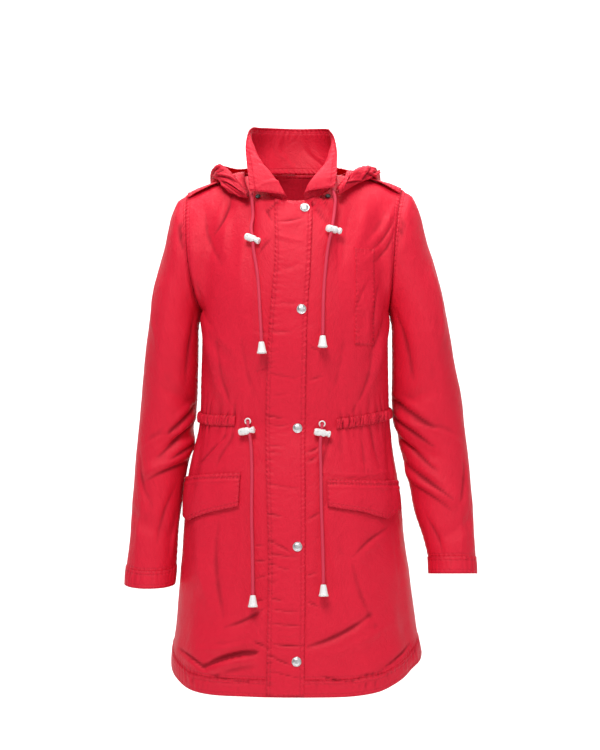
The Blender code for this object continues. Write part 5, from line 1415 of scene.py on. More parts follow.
def shared_normals(side, columns, rows):
    """Normals of a front and of the back's half beside it, made one along the seams they share."""
    onward, reverse = slice(None), slice(None, None, -1)
    order = (reverse, onward) if side == "left" else (onward, reverse)
    front = normals(half_grid(side, False, columns, rows))[order[0]]
    back = normals(half_grid(side, True, columns, rows))[order[1]]
    shoulder = columns >= NECK_SHARE - 1e-6
    if rows[0] == 0:
        front[shoulder, 0] = back[shoulder, 0] = unit(front[shoulder, 0] + back[shoulder, 0])
    below = rows >= 1
    front[-1, below] = back[-1, below] = unit(front[-1, below] + back[-1, below])
    for half in (front, back):
        half[0, :, 0] = 0
        half[0] = unit(half[0])
    return front[order[0]], back


def ordered(side, back, values):
    """Values on columns from the centre out, in the order of half_grid."""
    return values[::-1] if (side == "left") != back else values


def front_parts(side, columns, rows, options):
    """Grid, normals and lift of a front, which gives way under the storm flap."""
    flat = half_grid(side, False, columns, rows)
    u = ordered(side, False, columns)[:, None]
    lift = panel_lift(side, False, u, rows[None, :], flat, options) - SUNK * under_placket(flat)
    return flat, shared_normals(side, columns, rows)[0], lift


def back_parts(columns, rows, options):
    """Grid, normals and lift of the whole back, from the right side seam to the left."""
    grids, lifts, ways = [], [], []
    for side in ("right", "left"):
        grid = coat(side, True, columns[:, None], rows[None, :])
        grids.append(grid)
        lifts.append(panel_lift(side, True, columns[:, None], rows[None, :], grid, options))
        ways.append(shared_normals(side, columns, rows)[1])

    def joined(right, left):
        return np.concatenate([right[::-1], left[1:]])

    return joined(*grids), joined(*ways), joined(*lifts)


def build_panels(options):
    """Both fronts, which are sewn at the side, the shoulder and the hem, and the back."""
    material = cloth_material("panel", options)
    for side in SIDES:
        flat, normal, lift = front_parts(side, fine_columns(FRONT_COLUMNS), fine_rows(PANEL_ROWS), options)
        sewn = (side == "left", side == "right", True, True)
        cloth(f"front_{side}", flat, lift, material, "hung", ["back_upper"], normal=normal, seams=sewn)
    flat, normal, lift = back_parts(fine_columns(BACK_COLUMNS), fine_rows(BACK_ROWS), options)
    cloth("back", flat, lift, material, "hung", nodes=("back_upper", "back_lower"), normal=normal)


def band_lift(lift, flat, options):
    """The hem band: it follows the panel, with ripples square to the hem."""
    down = runs(flat, 1)
    run = runs(flat, 0)
    ripples = gathers("hem band", down - 0.012, run) * options.puckers
    return lift + CUFF_STAND + ripples * np.sin(np.clip(down / HEM_BAND, 0, 1) * math.pi)


def build_hem(options):
    material = cloth_material("hem", options)
    # The band starts a little above its seam and lies over the panel's edge.
    rows = np.linspace(1.997, 3, BAND_STEPS)
    for side in SIDES:
        flat, normal, lift = front_parts(side, fine_columns(FRONT_COLUMNS), rows, options)
        cloth(f"hem_front_{side}", flat, band_lift(lift, flat, options), material, "hung",
              [f"front_{side}"], normal=normal)
    flat, normal, lift = back_parts(fine_columns(BACK_COLUMNS), rows, options)
    cloth("hem_back", flat, band_lift(lift, flat, options), material, "hung", ["back_lower"], normal=normal)


def sleeve_lift(side, turns, flat, options):
    run = turns[:, None] * SLEEVE_METRES_PER_TURN
    height = flat[..., 2]
    down = runs(flat, 1)
    lift = crease_lift(SLEEVE_CREASES[side], run, height) * options.creases
    around_run = np.abs((turns[:, None] + 0.25) % 1 - 0.5) * SLEEVE_METRES_PER_TURN
    lift += crumple(around_run, height, 7) * options.crumples
    head = gathers("sleeve head", down, run) * np.cos(turns[:, None] * math.pi) ** 2
    armhole_puckers = gathers("armhole", down, run)
    inner_seam = gathers("inner sleeve", (turns[:, None] - 0.5) * SLEEVE_METRES_PER_TURN, height)
    lift = lift * smooth_step(0.0, 0.016, down) + (head + armhole_puckers + inner_seam) * options.puckers
    return lift * smooth_step(-0.001, 0.004, down)


def head_rise(turns, down):
    """How far the sleeve's head stands up from the shoulder and rounds over it."""
    outer = np.maximum(0, np.cos(turns[:, None] * 2 * math.pi)) ** 1.5
    return HEAD_RISE * outer * smooth_step(0.0, 0.018, down) * (1 - smooth_step(0.030, 0.110, down))


def build_sleeves(options):
    material = cloth_material("sleeve", options)
    turns = np.arange(SLEEVE_COLUMNS) / SLEEVE_COLUMNS
    end = CUFF_ROW + 1
    rows = np.concatenate([np.linspace(0, 1, CAP_STEPS)[:-1],
                           np.linspace(1, end, SLEEVE_STEPS - CAP_STEPS + 1)])
    cuff_rows = np.linspace(end - 0.06, end + 1, CUFF_STEPS)
    for side in SIDES:
        arm = sleeve(side, turns, rows)
        cuff = sleeve(side, turns, cuff_rows)
        lift = sleeve_lift(side, turns, arm, options)
        head = head_rise(turns, runs(arm, 1))
        _, ways = armhole(side, turns)
        cuff_run = turns[:, None] * SLEEVE_METRES_PER_TURN
        cuff_down = runs(cuff, 1)
        near = bulge(cuff_down, 0.010)
        ripples = gathers("cuff", cuff_down - 0.012, cuff_run) * options.puckers
        cuff_lift = lift[:, -1:] * near + CUFF_STAND + ripples
        if side == "right":
            arm, cuff, ways, lift, cuff_lift, head = (
                grid[::-1] for grid in (arm, cuff, ways, lift, cuff_lift, head))
        normal = normals(arm, wrap=True)
        lean = np.maximum(0, np.sum(normal[:, 0] * ways, axis=-1, keepdims=True))
        normal[:, 0] = unit(normal[:, 0] - lean * ways)
        rounded = arm + normal * head[..., None]
        cloth(f"sleeve_{side}", rounded, lift, material, "hung", [f"front_{side}"], wrap=True, normal=normal)
        cloth(f"cuff_{side}", cuff, cuff_lift, material, "hung", [f"sleeve_{side}"], wrap=True)


def placket_parts(columns, rows, options):
    """The storm flap's smooth grid, on the fronts' own surface, and its lift above it."""
    v = np.concatenate([fine_rows(rows)[1:-1], np.linspace(2, 2.9, PLACKET_FOOT_ROWS)])
    v = v[v > 0.02][None, :]
    height = coat("right", False, 0.1, v)[..., 2]
    left, right = placket_edges(height)
    x = left + (right - left) * np.linspace(0, 1, columns)[:, None]
    places = {side: width_to_u(side, np.abs(x), v) for side in SIDES}
    halves = {side: coat(side, False, places[side], v) for side in SIDES}
    flat = np.where((x > 0)[..., None], halves["right"], halves["left"])
    under = {side: panel_lift(side, False, places[side], v, flat, options) for side in SIDES}
    lift = np.where(x > 0, under["right"], under["left"]) * FOLLOW
    lift += crease_lift(PLACKET_CREASES, flat[..., 0], flat[..., 2]) * options.creases * 0.8
    near, far = runs(flat, 0), runs(flat[::-1], 0)[::-1]
    down = flat[..., 2]
    sewn = gathers("placket seam", near - 0.004, down) + gathers("placket edge", far, down)
    lift += sewn * options.puckers
    # The free edge stands up near the collar, and between the snaps a little.
    snap = np.min(np.abs(down[..., None] - SNAPS["height"]), axis=-1)
    rise = FREE_EDGE * bulge(down + 0.085, 0.024) + GAPE * smooth_step(0.02, 0.07, snap)
    lift += bulge(far, 0.012) * rise
    to_snap = np.hypot(flat[..., :1] - SNAPS["x"], down[..., None] - SNAPS["height"]).min(axis=-1)
    return flat, lift * smooth_step(0.005, 0.016, to_snap) + OVER


def build_placket(options):
    material = cloth_material("flap", options)
    flat, lift = placket_parts(PLACKET_COLUMNS, PLACKET_ROWS, options)
    cloth("placket", flat, lift, material, "hung", ["front_left", "front_right"], single=True)


def build_flaps(options):
    material = cloth_material("hem", options)
    for side in SIDES:
        data = FLAPS[side]
        across = np.linspace(0, 1, FLAP_COLUMNS)
        down = np.linspace(0, 1, FLAP_ROWS)
        u = spline(data["across"], data["u"], across)[:, None]
        top = np.interp(across, data["across"], data["top"])[:, None]
        low = np.interp(across, data["across"], data["low"])[:, None]
        height = top + (low - top) * down[None, :]
        u = u + 0 * height
        flat = lower_body(side, False, u, height)
        lift = panel_lift(side, False, u, row_at(side, u, height), flat, options) * 0.8
        flat, lift, fall = (ordered(side, False, values) for values in (flat, lift, top - height))
        run = runs(flat, 0)
        seam = gathers("pocket flap", fall - 0.002, run)
        roll = 0.0016 * bulge(fall - 0.003, 0.003) + 0.0012 * bulge(fall - 0.0115, 0.003)
        hang = FLAP_BOW * 1.6 * np.sin(down * math.pi)[None, :] + FLAP_FALL * down[None, :] ** 1.5
        lift = lift + seam * options.puckers + roll + hang + FLAP_CLEAR + FLAP_STAND
        cloth(f"flap_{side}", flat, lift, material, "hung", [f"front_{side}"])


def build_welt(options):
    """Upright pocket: a flat patch that the stitches outline."""
    material = cloth_material("pocket", options)
    x = np.linspace(*WELT["x"], WELT_COLUMNS)[:, None]
    height = np.linspace(WELT["height"][1], WELT["height"][0], WELT_ROWS)[None, :]
    u, v = front_place("right", x, height)
    flat = coat("right", False, u, v)
    lift = panel_lift("right", False, u, v, flat, options)
    edge = np.minimum(runs(flat, 0), runs(flat[::-1], 0)[::-1])
    lift += gathers("chest pocket", edge, height + 0 * x) * options.puckers
    low = smooth_step(-0.19, -0.24, height)
    lift += low * crumple(x * 1.4, height * 1.4, 15) * options.crumples * 0.8
    cloth("chest_welt", flat, lift + WELT_STAND, material, "laid", ["front_right"])


def build_pockets(options):
    build_flaps(options)
    build_welt(options)


def casing_parts(side, back, columns, options):
    """Half of a drawcord channel: its smooth grid and its lift, gathered in slanting puckers."""
    start = 0 if back else CASINGS[side]["u"][0]
    u = np.linspace(start, 1, columns)[:, None]
    across = np.linspace(-1, 1, CASING_ROWS)[None, :]
    height = waist_height(side, back, u) - across * CASING_HALF
    u = u + 0 * height
    flat = lower_body(side, back, u, height)
    v = row_at(side, u, height)
    run = panel_run(side, back, u)
    swell = np.sqrt(np.maximum(0, 1 - across**2)) * CASING_RISE * CASING_SWELL[back]
    slant = run + across * PUCKER_SLANT
    puckers = np.sin(slant / PUCKER_PITCH * 2 * math.pi + noise(slant, across * 0.004, 0.011, 141) * 7)
    strength = 0.0008 + 0.0007 * noise(slant, 0 * slant, 0.016, 142)
    lift = panel_lift(side, back, u, v, flat, options) + OVER * 0.9 + swell
    return flat, lift + puckers * strength * (1 - 0.55 * across**4) * options.puckers


def build_casings(options):
    material = cloth_material("casing", options)
    for side in SIDES:
        flat, lift = casing_parts(side, False, CASING_COLUMNS, options)
        cloth(f"waist_casing_{side}", ordered(side, False, flat), ordered(side, False, lift), material,
              "gathered", [f"front_{side}"])
    right, left = (casing_parts(side, True, BACK_CASING_COLUMNS, options) for side in ("right", "left"))
    flat, lift = (np.concatenate([a[:0:-1], b]) for a, b in zip(right, left))
    cloth("waist_casing_back", flat, lift, material, "gathered", ["back_lower"])


def build_collar(options):
    material = cloth_material("collar", options)
    flat = collar_grid(COLLAR_COLUMNS, COLLAR_STEPS)
    run, up = runs(flat, 0), runs(flat, 1)
    to_edge = up[:, -1:] - up
    lift = crease_lift(COLLAR_CREASES, run, up) * options.creases
    lift += crumple(run, up, 17) * 0.8 * options.crumples
    lift += bulge(to_edge - 0.0045, 0.0036) * 0.0013
    lift += gathers("collar", to_edge - 0.009, run) * options.puckers
    ends = np.minimum(run, run[-1:] - run)
    lift *= smooth_step(-0.004, 0.012, ends)
    cloth("collar", flat, lift, material, "folded", ["front_left", "front_right", "back_upper"])


def build_hood(options):
    material = cloth_material("hood", options)
    columns, rows = fine_columns(26), fine_rows(60)
    grids = [half_grid(side, back, columns, rows) for back in (False, True) for side in SIDES]
    flat = hood_grid(grid_tree(grids), HOOD_COLUMNS_SHOWN, HOOD_STEPS)
    share = np.linspace(2, 0, HOOD_COLUMNS_SHOWN)[:, None]
    width = np.linspace(0, 1, HOOD_STEPS)[None, :]
    across, up = share * HOOD_RUN + 0 * width, width * HOOD_WIDTH + 0 * share
    lift = crease_lift(HOOD_CREASES, across, up) * options.creases
    run = runs(flat, 0)
    lift += crumple(run, runs(flat, 1), 27) * 1.3 * options.crumples
    hidden = smooth_step(0.62, 0.80, width)
    lift = lift * (1 - HIDDEN_SHARE * hidden)
    rim = np.minimum(runs(flat, 1), 1)
    lift += gathers("hood rim", rim - 0.008, run) * options.puckers
    lift += bulge(rim - 0.008, 0.006) * 0.0008
    lift = np.maximum(lift, DEEPEST)
    to_front = np.minimum(share, 2 - share)
    front = 1 - smooth_step(0.45, 0.75, to_front)
    # Painted shade: the cloth that lies under the collar is darkened in its colour, as in the collar's
    # shade.
    cloth("hood", flat, lift * smooth_step(0.0, 0.03, to_front + 0.01), material, "draped",
          ["back_upper", "front_left", "front_right"], shade=0.75 * front * smooth_step(0.66, 0.86, width))


def build_epaulettes(options):
    material = cloth_material("hem", options)
    for side in SIDES:
        share = np.linspace(*EPAULETTE_SHARES, EPAULETTE_COLUMNS)[:, None]
        reach = np.linspace(1, -0.55, EPAULETTE_ROWS) * EPAULETTE_REACH
        parts = []
        for across in reach:
            u, v = share[:, 0], np.full(len(share), abs(across))
            point = coat(side, across > 0, u, v)
            parts.append((point, panel_lift(side, across > 0, u, v, point, options)))
        flat = ordered(side, False, np.stack([part[0] for part in parts], axis=1))
        lift = ordered(side, False, np.stack([part[1] for part in parts], axis=1))
        # Its front edge stands up off the shoulder.
        edge = EPAULETTE_EDGE * bulge(runs(flat[:, ::-1], 1)[:, ::-1], 0.012)
        sewn_end = ordered(side, False, 1 - 0.45 * smooth_step(0.86, 0.985, share))
        cloth(f"epaulette_{side}", flat, lift + (EPAULETTE_STAND + edge) * sewn_end, material, "laid",
              [f"front_{side}", "back_upper"])


# ---- cords and hard pieces ----
TUBE_SIDES, CORD_STEPS, CORD_POINTS = 14, 260, 23


def build_cords(options):
    material = material_of("cord", make_braid, options)
    for name in CORDS:
        line, _ = cord_route(name, CORD_STEPS)
        along = unit(np.gradient(line, axis=0))
        side = unit(np.cross(along, np.array([0.0, -1.0, 0.0])))
        front = np.cross(side, along)
        angle = np.linspace(0, 2 * math.pi, TUBE_SIDES + 1)[:, None, None]
        ring = line + (side * np.cos(angle) + front * np.sin(angle)) * options.cord_diameter / 2
        metres = runs(line[None], 1)[0]
        count, steps = ring.shape[:2]
        vertices = ring[:-1].reshape(-1, 3)
        i, j = (k.ravel() for k in np.meshgrid(np.arange(count - 1), np.arange(steps - 1), indexing="ij"))
        corners = [(i, j), (i, j + 1), (i + 1, j + 1), (i + 1, j)]
        faces = np.stack([(a % TUBE_SIDES) * steps + b for a, b in corners], axis=-1).tolist()
        uv = np.stack([np.stack([a / TUBE_SIDES, metres[b]], axis=-1) for a, b in corners], axis=1)
        first = [k * steps for k in range(TUBE_SIDES)]
        caps = [first, [start + steps - 1 for start in reversed(first)]]
        uv = np.concatenate([uv.reshape(-1), np.zeros(4 * TUBE_SIDES)])
        piece = mesh_piece(f"{name}_braid", vertices, faces + caps, {"cloth": uv}, material)
        declare(piece, "cord", name)


def clear_selection():
    for other in bpy.context.selected_objects:
        other.select_set(False)


def select_only(piece):
    clear_selection()
    bpy.context.view_layer.objects.active = piece
    piece.select_set(True)


def lathe(name, profile, sides):
    """A round piece by its profile of (radius, height) from the foot up: rings extruded and resized."""
    clear_selection()
    radius, height = profile[0]
    bpy.ops.mesh.primitive_circle_add(vertices=sides, radius=radius, fill_type="NGON",
                                      location=(0, 0, height))
    piece = bpy.context.object
    piece.name = name
    bpy.ops.object.transform_apply(location=True, rotation=True, scale=True)
    bpy.ops.object.mode_set(mode="EDIT")
    bpy.ops.mesh.select_all(action="SELECT")
    for next_radius, next_height in profile[1:]:
        move = {"value": (0, 0, next_height - height)}
        bpy.ops.mesh.extrude_region_move(TRANSFORM_OT_translate=move)
        share = next_radius / radius
        bpy.ops.transform.resize(value=(share, share, 1), center_override=(0, 0, next_height))
        radius, height = next_radius, next_height
    bpy.ops.mesh.select_all(action="SELECT")
    bpy.ops.mesh.normals_make_consistent(inside=False)
    bpy.ops.object.mode_set(mode="OBJECT")
    return piece


def standing(place, axis):
    """The matrix that takes +Z at the origin to an axis at a place."""
    turn = Vector(axis).to_track_quat("Z", "Y").to_matrix().to_4x4()
    return Matrix.Translation(Vector(place)) @ turn


def set_down(piece, name, material, place, axis, smooth=35):
    """Turns and moves a piece from its own frame to its place, and finishes it."""
    piece.matrix_world = standing(place, axis)
    select_only(piece)
    bpy.ops.object.transform_apply(location=True, rotation=True, scale=True)
    bpy.ops.object.shade_smooth_by_angle(angle=math.radians(smooth))
    piece.data.materials.clear()
    piece.data.materials.append(material)
    piece.name = name


def finish_hard(piece, node, material, slot, place, axis, smooth=35):
    """Sets a piece down in a CAD node's stead."""
    set_down(piece, f"{node}_shown", material, place, axis, smooth)
    declare(piece, slot, node)


def copy_of(piece):
    """A copy with its own mesh."""
    return placed(piece.name, piece.data.copy())


# Profiles of the turned pieces from the foot up, in metres.
SNAP_FOOT = ((0.0071, 0.0), (0.0075, 0.0003), (0.0075, 0.0009), (0.0071, 0.0013), (0.0064, 0.0013),
             (0.0061, 0.0011), (0.0058, 0.0015), (0.0048, 0.0023), (0.0032, 0.0027), (0.0012, 0.0028))
BELL_SHAPE = ((0.0062, 0.0), (0.0074, 0.0004), (0.0078, 0.0014), (0.0078, 0.0024), (0.0071, 0.0032),
              (0.0067, 0.0044), (0.0055, 0.0110), (0.0046, 0.0160), (0.0043, 0.0176), (0.0038, 0.0184),
              (0.0030, 0.0185))
LOCK_BODY = ((0.0030, -0.0130), (0.0044, -0.0126), (0.0053, -0.0112), (0.0057, -0.0092), (0.0058, -0.0072),
             (0.0058, -0.0034), (0.0054, -0.0030), (0.0054, -0.0022), (0.0058, -0.0018), (0.0058, 0.0036),
             (0.0055, 0.0044), (0.0041, 0.0046), (0.0041, 0.0086), (0.0050, 0.0090), (0.0052, 0.0098),
             (0.0052, 0.0118), (0.0046, 0.0128), (0.0030, 0.0130))
LOCK_SLOTS = (-0.0078, 0.0108)           # places of its small slots along the barrel
LOCK_SLOT, LOCK_SLOT_DEPTH = 0.0011, 0.004
BELL_BORE, BELL_BORE_DEPTH = 0.0056, 0.010
SEAT = 0.0002                            # gap under a piece that is set on another
RING_RADIUS, RING_WIRE, RING_STAND = 0.0043, 0.0012, 0.0042


def build_snaps(options):
    material = bright_metal(options)
    flat, lift = placket_parts(PLACKET_COLUMNS, PLACKET_ROWS, options)
    flap = grid_tree([flat + normals(flat) * lift[..., None]])
    model = lathe("snap", SNAP_FOOT, 40)
    for number, (x, height) in enumerate(zip(*SNAPS.values()), start=1):
        place, _ = front_at(x, height)
        seat, normal, _, _ = flap.find_nearest(Vector(place))
        piece = copy_of(model)
        finish_hard(piece, f"snap_{number}", material, "snap_metal", seat + normal * SEAT, normal)
    bpy.data.objects.remove(model)


# Dark buttons under the collar's leaves: across and height.
BUTTONS = {"left": (-0.0600, -0.0365), "right": (0.0505, -0.0360)}
BUTTON_SHAPE = ((0.0030, 0.0), (0.0042, 0.0004), (0.0042, 0.0016), (0.0034, 0.0021), (0.0031, 0.0018),
                (0.0010, 0.0017))
BUTTON_STAND = 0.0012


def build_buttons(_):
    """Two dark buttons by which the hood's front ends are held under the collar."""
    material = dark_plastic()
    for side, (x, height) in BUTTONS.items():
        place, normal = front_at(x, height)
        piece = lathe("button", BUTTON_SHAPE, 28)
        set_down(piece, f"hood_button_{side}", material, place + normal * BUTTON_STAND, normal)
        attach(piece, "root")


def build_eyelets(options):
    """A plastic ring at each end of the waist cord's channel."""
    material = white_plastic(options)
    for side, (x, height) in EYELETS.items():
        place, normal = front_at(x, height)
        clear_selection()
        bpy.ops.mesh.primitive_torus_add(major_radius=RING_RADIUS, minor_radius=RING_WIRE, major_segments=36,
                                         minor_segments=12)
        finish_hard(bpy.context.object, f"waist_eyelet_{side}", material, "white_plastic",
                    place + normal * RING_STAND, normal, smooth=60)


def lock_place(name):
    """A lock's middle, the way of its barrel, the cord's place and way in it."""
    index, shift, tilt = LOCKS[name]
    _, stations = cord_route(name, CORD_POINTS)
    place = stations[index]
    along = unit(stations[index + 1] - stations[index - 1])
    _, normal = front_at(place[0], place[2])
    level = unit(np.cross(normal, np.array([0, 0, -1])))
    turn = math.radians(tilt)
    barrel = level * math.cos(turn) + np.cross(normal, level) * math.sin(turn)
    return place + barrel * shift, barrel, place, along, normal


def drill(piece, place, axis, radius, depth):
    """Cuts a round hole through or into a piece."""
    clear_selection()
    bpy.ops.mesh.primitive_cylinder_add(vertices=24, radius=radius, depth=depth)
    cutter = bpy.context.object
    cutter.matrix_world = standing(place, axis)
    select_only(piece)
    cut = piece.modifiers.new("hole", "BOOLEAN")
    cut.object = cutter
    cut.operation = "DIFFERENCE"
    bpy.ops.object.modifier_apply(modifier=cut.name)
    bpy.data.objects.remove(cutter)


def build_locks(options):
    material = white_plastic(options)
    for name in CORDS:
        centre, barrel, place, along, normal = lock_place(name)
        piece = lathe("lock", LOCK_BODY, 36)
        finish_hard(piece, f"{name}_lock", material, "white_plastic", centre, barrel)
        drill(piece, place, along, CORD_RADIUS + BORE_PLAY, 0.03)
        # Two small slots show in the barrel's front.
        for reach in LOCK_SLOTS:
            drill(piece, centre + barrel * reach + normal * LOCK_BODY[4][0], normal, LOCK_SLOT,
                  LOCK_SLOT_DEPTH)


def build_bells(options):
    material = white_plastic(options)
    model = lathe("bell", BELL_SHAPE, 36)
    for name in CORDS:
        points, _ = cord_route(name, CORD_POINTS)
        along = unit(points[-1] - points[-2])
        piece = copy_of(model)
        foot = points[-1] + along * (BELL_HEIGHT + SEAT)
        finish_hard(piece, f"{name}_bell", material, "white_plastic", foot, -along)
        drill(piece, foot, -along, BELL_BORE, BELL_BORE_DEPTH)
    bpy.data.objects.remove(model)


def build_fittings(options):
    build_locks(options)
    build_bells(options)


# ---- stage ----
VIEW_MIDDLE = (0.0065, -3.3, -0.319)   # the camera, level with the middle of the picture
VIEW_HEIGHT = 1.215                    # what it sees at the coat's middle
SENSOR = 24.0
FLOOR = -1.42
SWEEP_REACH, SWEEP_FOOT, SWEEP_BEND, SWEEP_RISE, SWEEP_STEPS = 6.0, 2.2, 1.6, 5.0, 12
# Lamps: place, what they point at, diameter and power.
COAT_MIDDLE, WALL_MIDDLE = (0, 0, -0.4), (0, 3.5, -0.3)
LAMPS = {
    "key": ((-0.5, -2.1, 2.25), COAT_MIDDLE, 1.4, 80),
    "front": ((0.5, -4.3, 1.2), COAT_MIDDLE, 2.6, 18),
    "side": ((2.6, -1.8, 0.8), COAT_MIDDLE, 1.6, 12),
    "wall": ((0.0, 0.9, 2.6), WALL_MIDDLE, 3.0, 170),
}
SKY_STRENGTH = 0.17


def build_sweep():
    """Studio paper: a floor that curves up into a wall."""
    profile = [(-SWEEP_REACH, FLOOR), (SWEEP_FOOT, FLOOR)]
    for k in range(1, SWEEP_STEPS + 1):
        angle = k / SWEEP_STEPS * math.pi / 2
        profile.append((SWEEP_FOOT + SWEEP_BEND * math.sin(angle),
                        FLOOR + SWEEP_BEND * (1 - math.cos(angle))))
    profile.append((SWEEP_FOOT + SWEEP_BEND, FLOOR + SWEEP_RISE))
    points = [(x, y, z) for y, z in profile for x in (-SWEEP_REACH, SWEEP_REACH)]
    faces = [(2 * k, 2 * k + 1, 2 * k + 3, 2 * k + 2) for k in range(len(profile) - 1)]
    mesh = bpy.data.meshes.new("studio_sweep")
    mesh.from_pydata(points, [], faces)
    mesh.shade_smooth()
    mesh.materials.append(material_of("studio paper", make_backdrop))
    return placed("studio_sweep", mesh)


def build_stage(context):
    """Studio paper, soft lights and the camera of the photo's view."""
    scene = context.scene
    staged = [build_sweep()]
    lens = bpy.data.cameras.new("photo_camera")
    lens.sensor_fit = "VERTICAL"
    lens.sensor_height = SENSOR
    lens.lens = SENSOR * -VIEW_MIDDLE[1] / VIEW_HEIGHT
    scene.camera = placed("photo_camera", lens)
    scene.camera.location = VIEW_MIDDLE
    scene.camera.rotation_euler = (math.pi / 2, 0, 0)
    staged.append(scene.camera)
    for name, (place, target, size, power) in LAMPS.items():
        lamp = bpy.data.lights.new(name, "AREA")
        lamp.shape = "DISK"
        lamp.size = size
        lamp.energy = power
        light = placed(name, lamp)
        light.location = place
        light.rotation_euler = (Vector(target) - Vector(place)).to_track_quat("-Z", "Y").to_euler()
        staged.append(light)
    scene.world = bpy.data.worlds.new("studio")
    scene.world.use_nodes = True
    sky = scene.world.node_tree.nodes["Background"].inputs
    sky["Color"].default_value = (1, 1, 1, 1)
    sky["Strength"].default_value = SKY_STRENGTH
    scene.view_settings.view_transform = "Standard"


# ---- add-on ----
class RaincoatSettings(bpy.types.PropertyGroup):
    """Sizes and colours of the coat."""
    cloth_colour: FloatVectorProperty(
        name="Cloth", description="Colour of the cloth", subtype="COLOR", size=3, min=0, max=1,
        default=(0.74, 0.013, 0.040))
    cord_colour: FloatVectorProperty(
        name="Cord", description="Colour of the cords", subtype="COLOR", size=3, min=0, max=1,
        default=(0.66, 0.008, 0.055))
    plastic_colour: FloatVectorProperty(
        name="Plastic", description="Colour of the locks, bells and rings", subtype="COLOR", size=3,
        min=0, max=1, default=(0.88, 0.88, 0.87))
    metal_colour: FloatVectorProperty(
        name="Snaps", description="Colour of the snaps", subtype="COLOR", size=3, min=0, max=1,
        default=(0.80, 0.80, 0.81))
    cloth_roughness: FloatProperty(
        name="Cloth roughness", description="0 is shiny, 1 is matt", default=0.50, min=0, max=1)
    weave: FloatProperty(
        name="Weave", description="Width of two threads of the cloth", default=0.0008, unit="LENGTH")
    stitch: FloatProperty(
        name="Stitch", description="Length of one stitch with its gap", default=0.0032, unit="LENGTH")
    cord_diameter: FloatProperty(
        name="Cord diameter", description="Thickness of the cords", default=0.005, unit="LENGTH")
    creases: FloatProperty(
        name="Creases", description="Depth of the large creases, as a share", default=1.25, min=0, max=2)
    puckers: FloatProperty(
        name="Puckers", description="Depth of the gathers along the seams, as a share", default=1.2,
        min=0, max=3)
    crumples: FloatProperty(
        name="Crumples", description="Unevenness of the cloth, as a share", default=1.0, min=0, max=3)


class RAINCOAT_OT_stage(bpy.types.Operator):
    """Floor, lights and camera"""
    bl_idname = "raincoat.stage"
    bl_label = "Stage"

    def execute(self, context):
        build_stage(context)
        return {"FINISHED"}


class RAINCOAT_OT_fittings(bpy.types.Operator):
    """The locks on the cords and the bells at their ends"""
    bl_idname = "raincoat.fittings"
    bl_label = "Cord fittings"

    def execute(self, context):
        return built(build_fittings, context)


class RAINCOAT_OT_cords(bpy.types.Operator):
    """The four drawcords"""
    bl_idname = "raincoat.cords"
    bl_label = "Cords"

    def execute(self, context):
        return built(build_cords, context)


class RAINCOAT_OT_panels(bpy.types.Operator):
    """Both front panels and the back"""
    bl_idname = "raincoat.panels"
    bl_label = "Fronts and back"

    def execute(self, context):
        return built(build_panels, context)


class RAINCOAT_OT_hem(bpy.types.Operator):
    """The bands along the lower edge"""
    bl_idname = "raincoat.hem"
    bl_label = "Hem bands"

    def execute(self, context):
        return built(build_hem, context)


class RAINCOAT_OT_sleeves(bpy.types.Operator):
    """The sleeves and their cuffs"""
    bl_idname = "raincoat.sleeves"
    bl_label = "Sleeves"

    def execute(self, context):
        return built(build_sleeves, context)


class RAINCOAT_OT_placket(bpy.types.Operator):
    """The flap over the front closure"""
    bl_idname = "raincoat.placket"
    bl_label = "Storm flap"

    def execute(self, context):
        return built(build_placket, context)


class RAINCOAT_OT_casings(bpy.types.Operator):
    """The gathered channel of the waist cord"""
    bl_idname = "raincoat.casings"
    bl_label = "Waist casings"

    def execute(self, context):
        return built(build_casings, context)


class RAINCOAT_OT_pockets(bpy.types.Operator):
    """The two pointed pocket flaps and the upright chest pocket"""
    bl_idname = "raincoat.pockets"
    bl_label = "Pockets"

    def execute(self, context):
        return built(build_pockets, context)


class RAINCOAT_OT_collar(bpy.types.Operator):
    """The stand that turns back into two leaves"""
    bl_idname = "raincoat.collar"
    bl_label = "Collar"

    def execute(self, context):
        return built(build_collar, context)


class RAINCOAT_OT_hood(bpy.types.Operator):
    """The hood, thrown back"""
    bl_idname = "raincoat.hood"
    bl_label = "Hood"

    def execute(self, context):
        return built(build_hood, context)


class RAINCOAT_OT_epaulettes(bpy.types.Operator):
    """The straps along the shoulder seams"""
    bl_idname = "raincoat.epaulettes"
    bl_label = "Shoulder straps"

    def execute(self, context):
        return built(build_epaulettes, context)


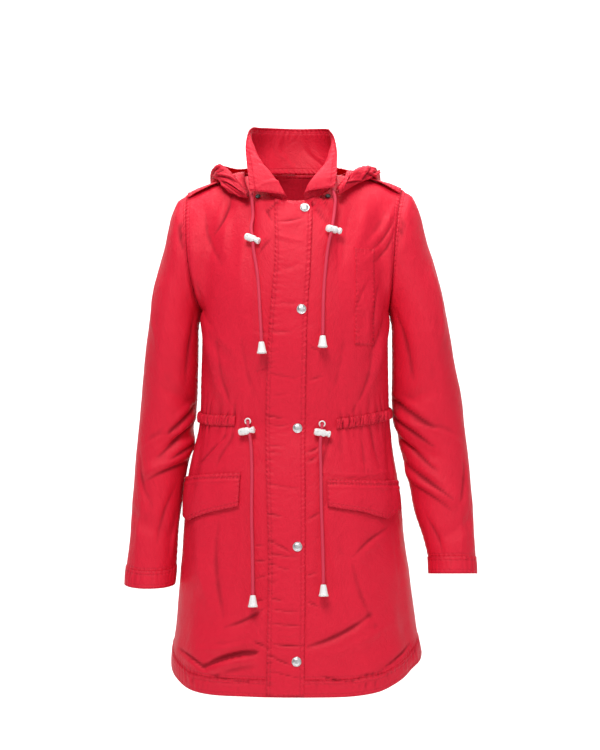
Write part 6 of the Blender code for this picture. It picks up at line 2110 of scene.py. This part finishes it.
class RAINCOAT_OT_snaps(bpy.types.Operator):
    """The snaps of the storm flap"""
    bl_idname = "raincoat.snaps"
    bl_label = "Snaps"

    def execute(self, context):
        return built(build_snaps, context)


class RAINCOAT_OT_buttons(bpy.types.Operator):
    """The dark buttons under the collar"""
    bl_idname = "raincoat.buttons"
    bl_label = "Hood buttons"

    def execute(self, context):
        return built(build_buttons, context)


class RAINCOAT_OT_eyelets(bpy.types.Operator):
    """The rings at the ends of the waist channel"""
    bl_idname = "raincoat.eyelets"
    bl_label = "Rings"

    def execute(self, context):
        return built(build_eyelets, context)


PIECES = (
    RAINCOAT_OT_fittings, RAINCOAT_OT_cords, RAINCOAT_OT_panels, RAINCOAT_OT_hem, RAINCOAT_OT_sleeves,
    RAINCOAT_OT_placket, RAINCOAT_OT_casings, RAINCOAT_OT_pockets, RAINCOAT_OT_collar, RAINCOAT_OT_hood,
    RAINCOAT_OT_epaulettes, RAINCOAT_OT_snaps, RAINCOAT_OT_buttons, RAINCOAT_OT_eyelets,
)
CLASSES = (RaincoatSettings, RAINCOAT_OT_stage, *PIECES)


class RAINCOAT_PT_panel(bpy.types.Panel):
    """The coat's pieces and settings"""
    bl_label = "Raincoat"
    bl_idname = "RAINCOAT_PT_panel"
    bl_space_type = "VIEW_3D"
    bl_region_type = "UI"
    bl_category = "Raincoat"

    def draw(self, context):
        column = self.layout.column()
        for name in RaincoatSettings.__annotations__:
            column.prop(context.scene.raincoat, name)
        column.operator(RAINCOAT_OT_stage.bl_idname)
        for operator in PIECES:
            column.operator(operator.bl_idname)


def register():
    for each in (*CLASSES, RAINCOAT_PT_panel):
        bpy.utils.register_class(each)
    bpy.types.Scene.raincoat = PointerProperty(type=RaincoatSettings)


def unregister():
    del bpy.types.Scene.raincoat
    for each in reversed((*CLASSES, RAINCOAT_PT_panel)):
        bpy.utils.unregister_class(each)


def main():
    register()
    for operator in (RAINCOAT_OT_stage, *PIECES):
        getattr(bpy.ops.raincoat, operator.bl_idname.split(".")[1])()


if __name__ == "__main__":
    main()
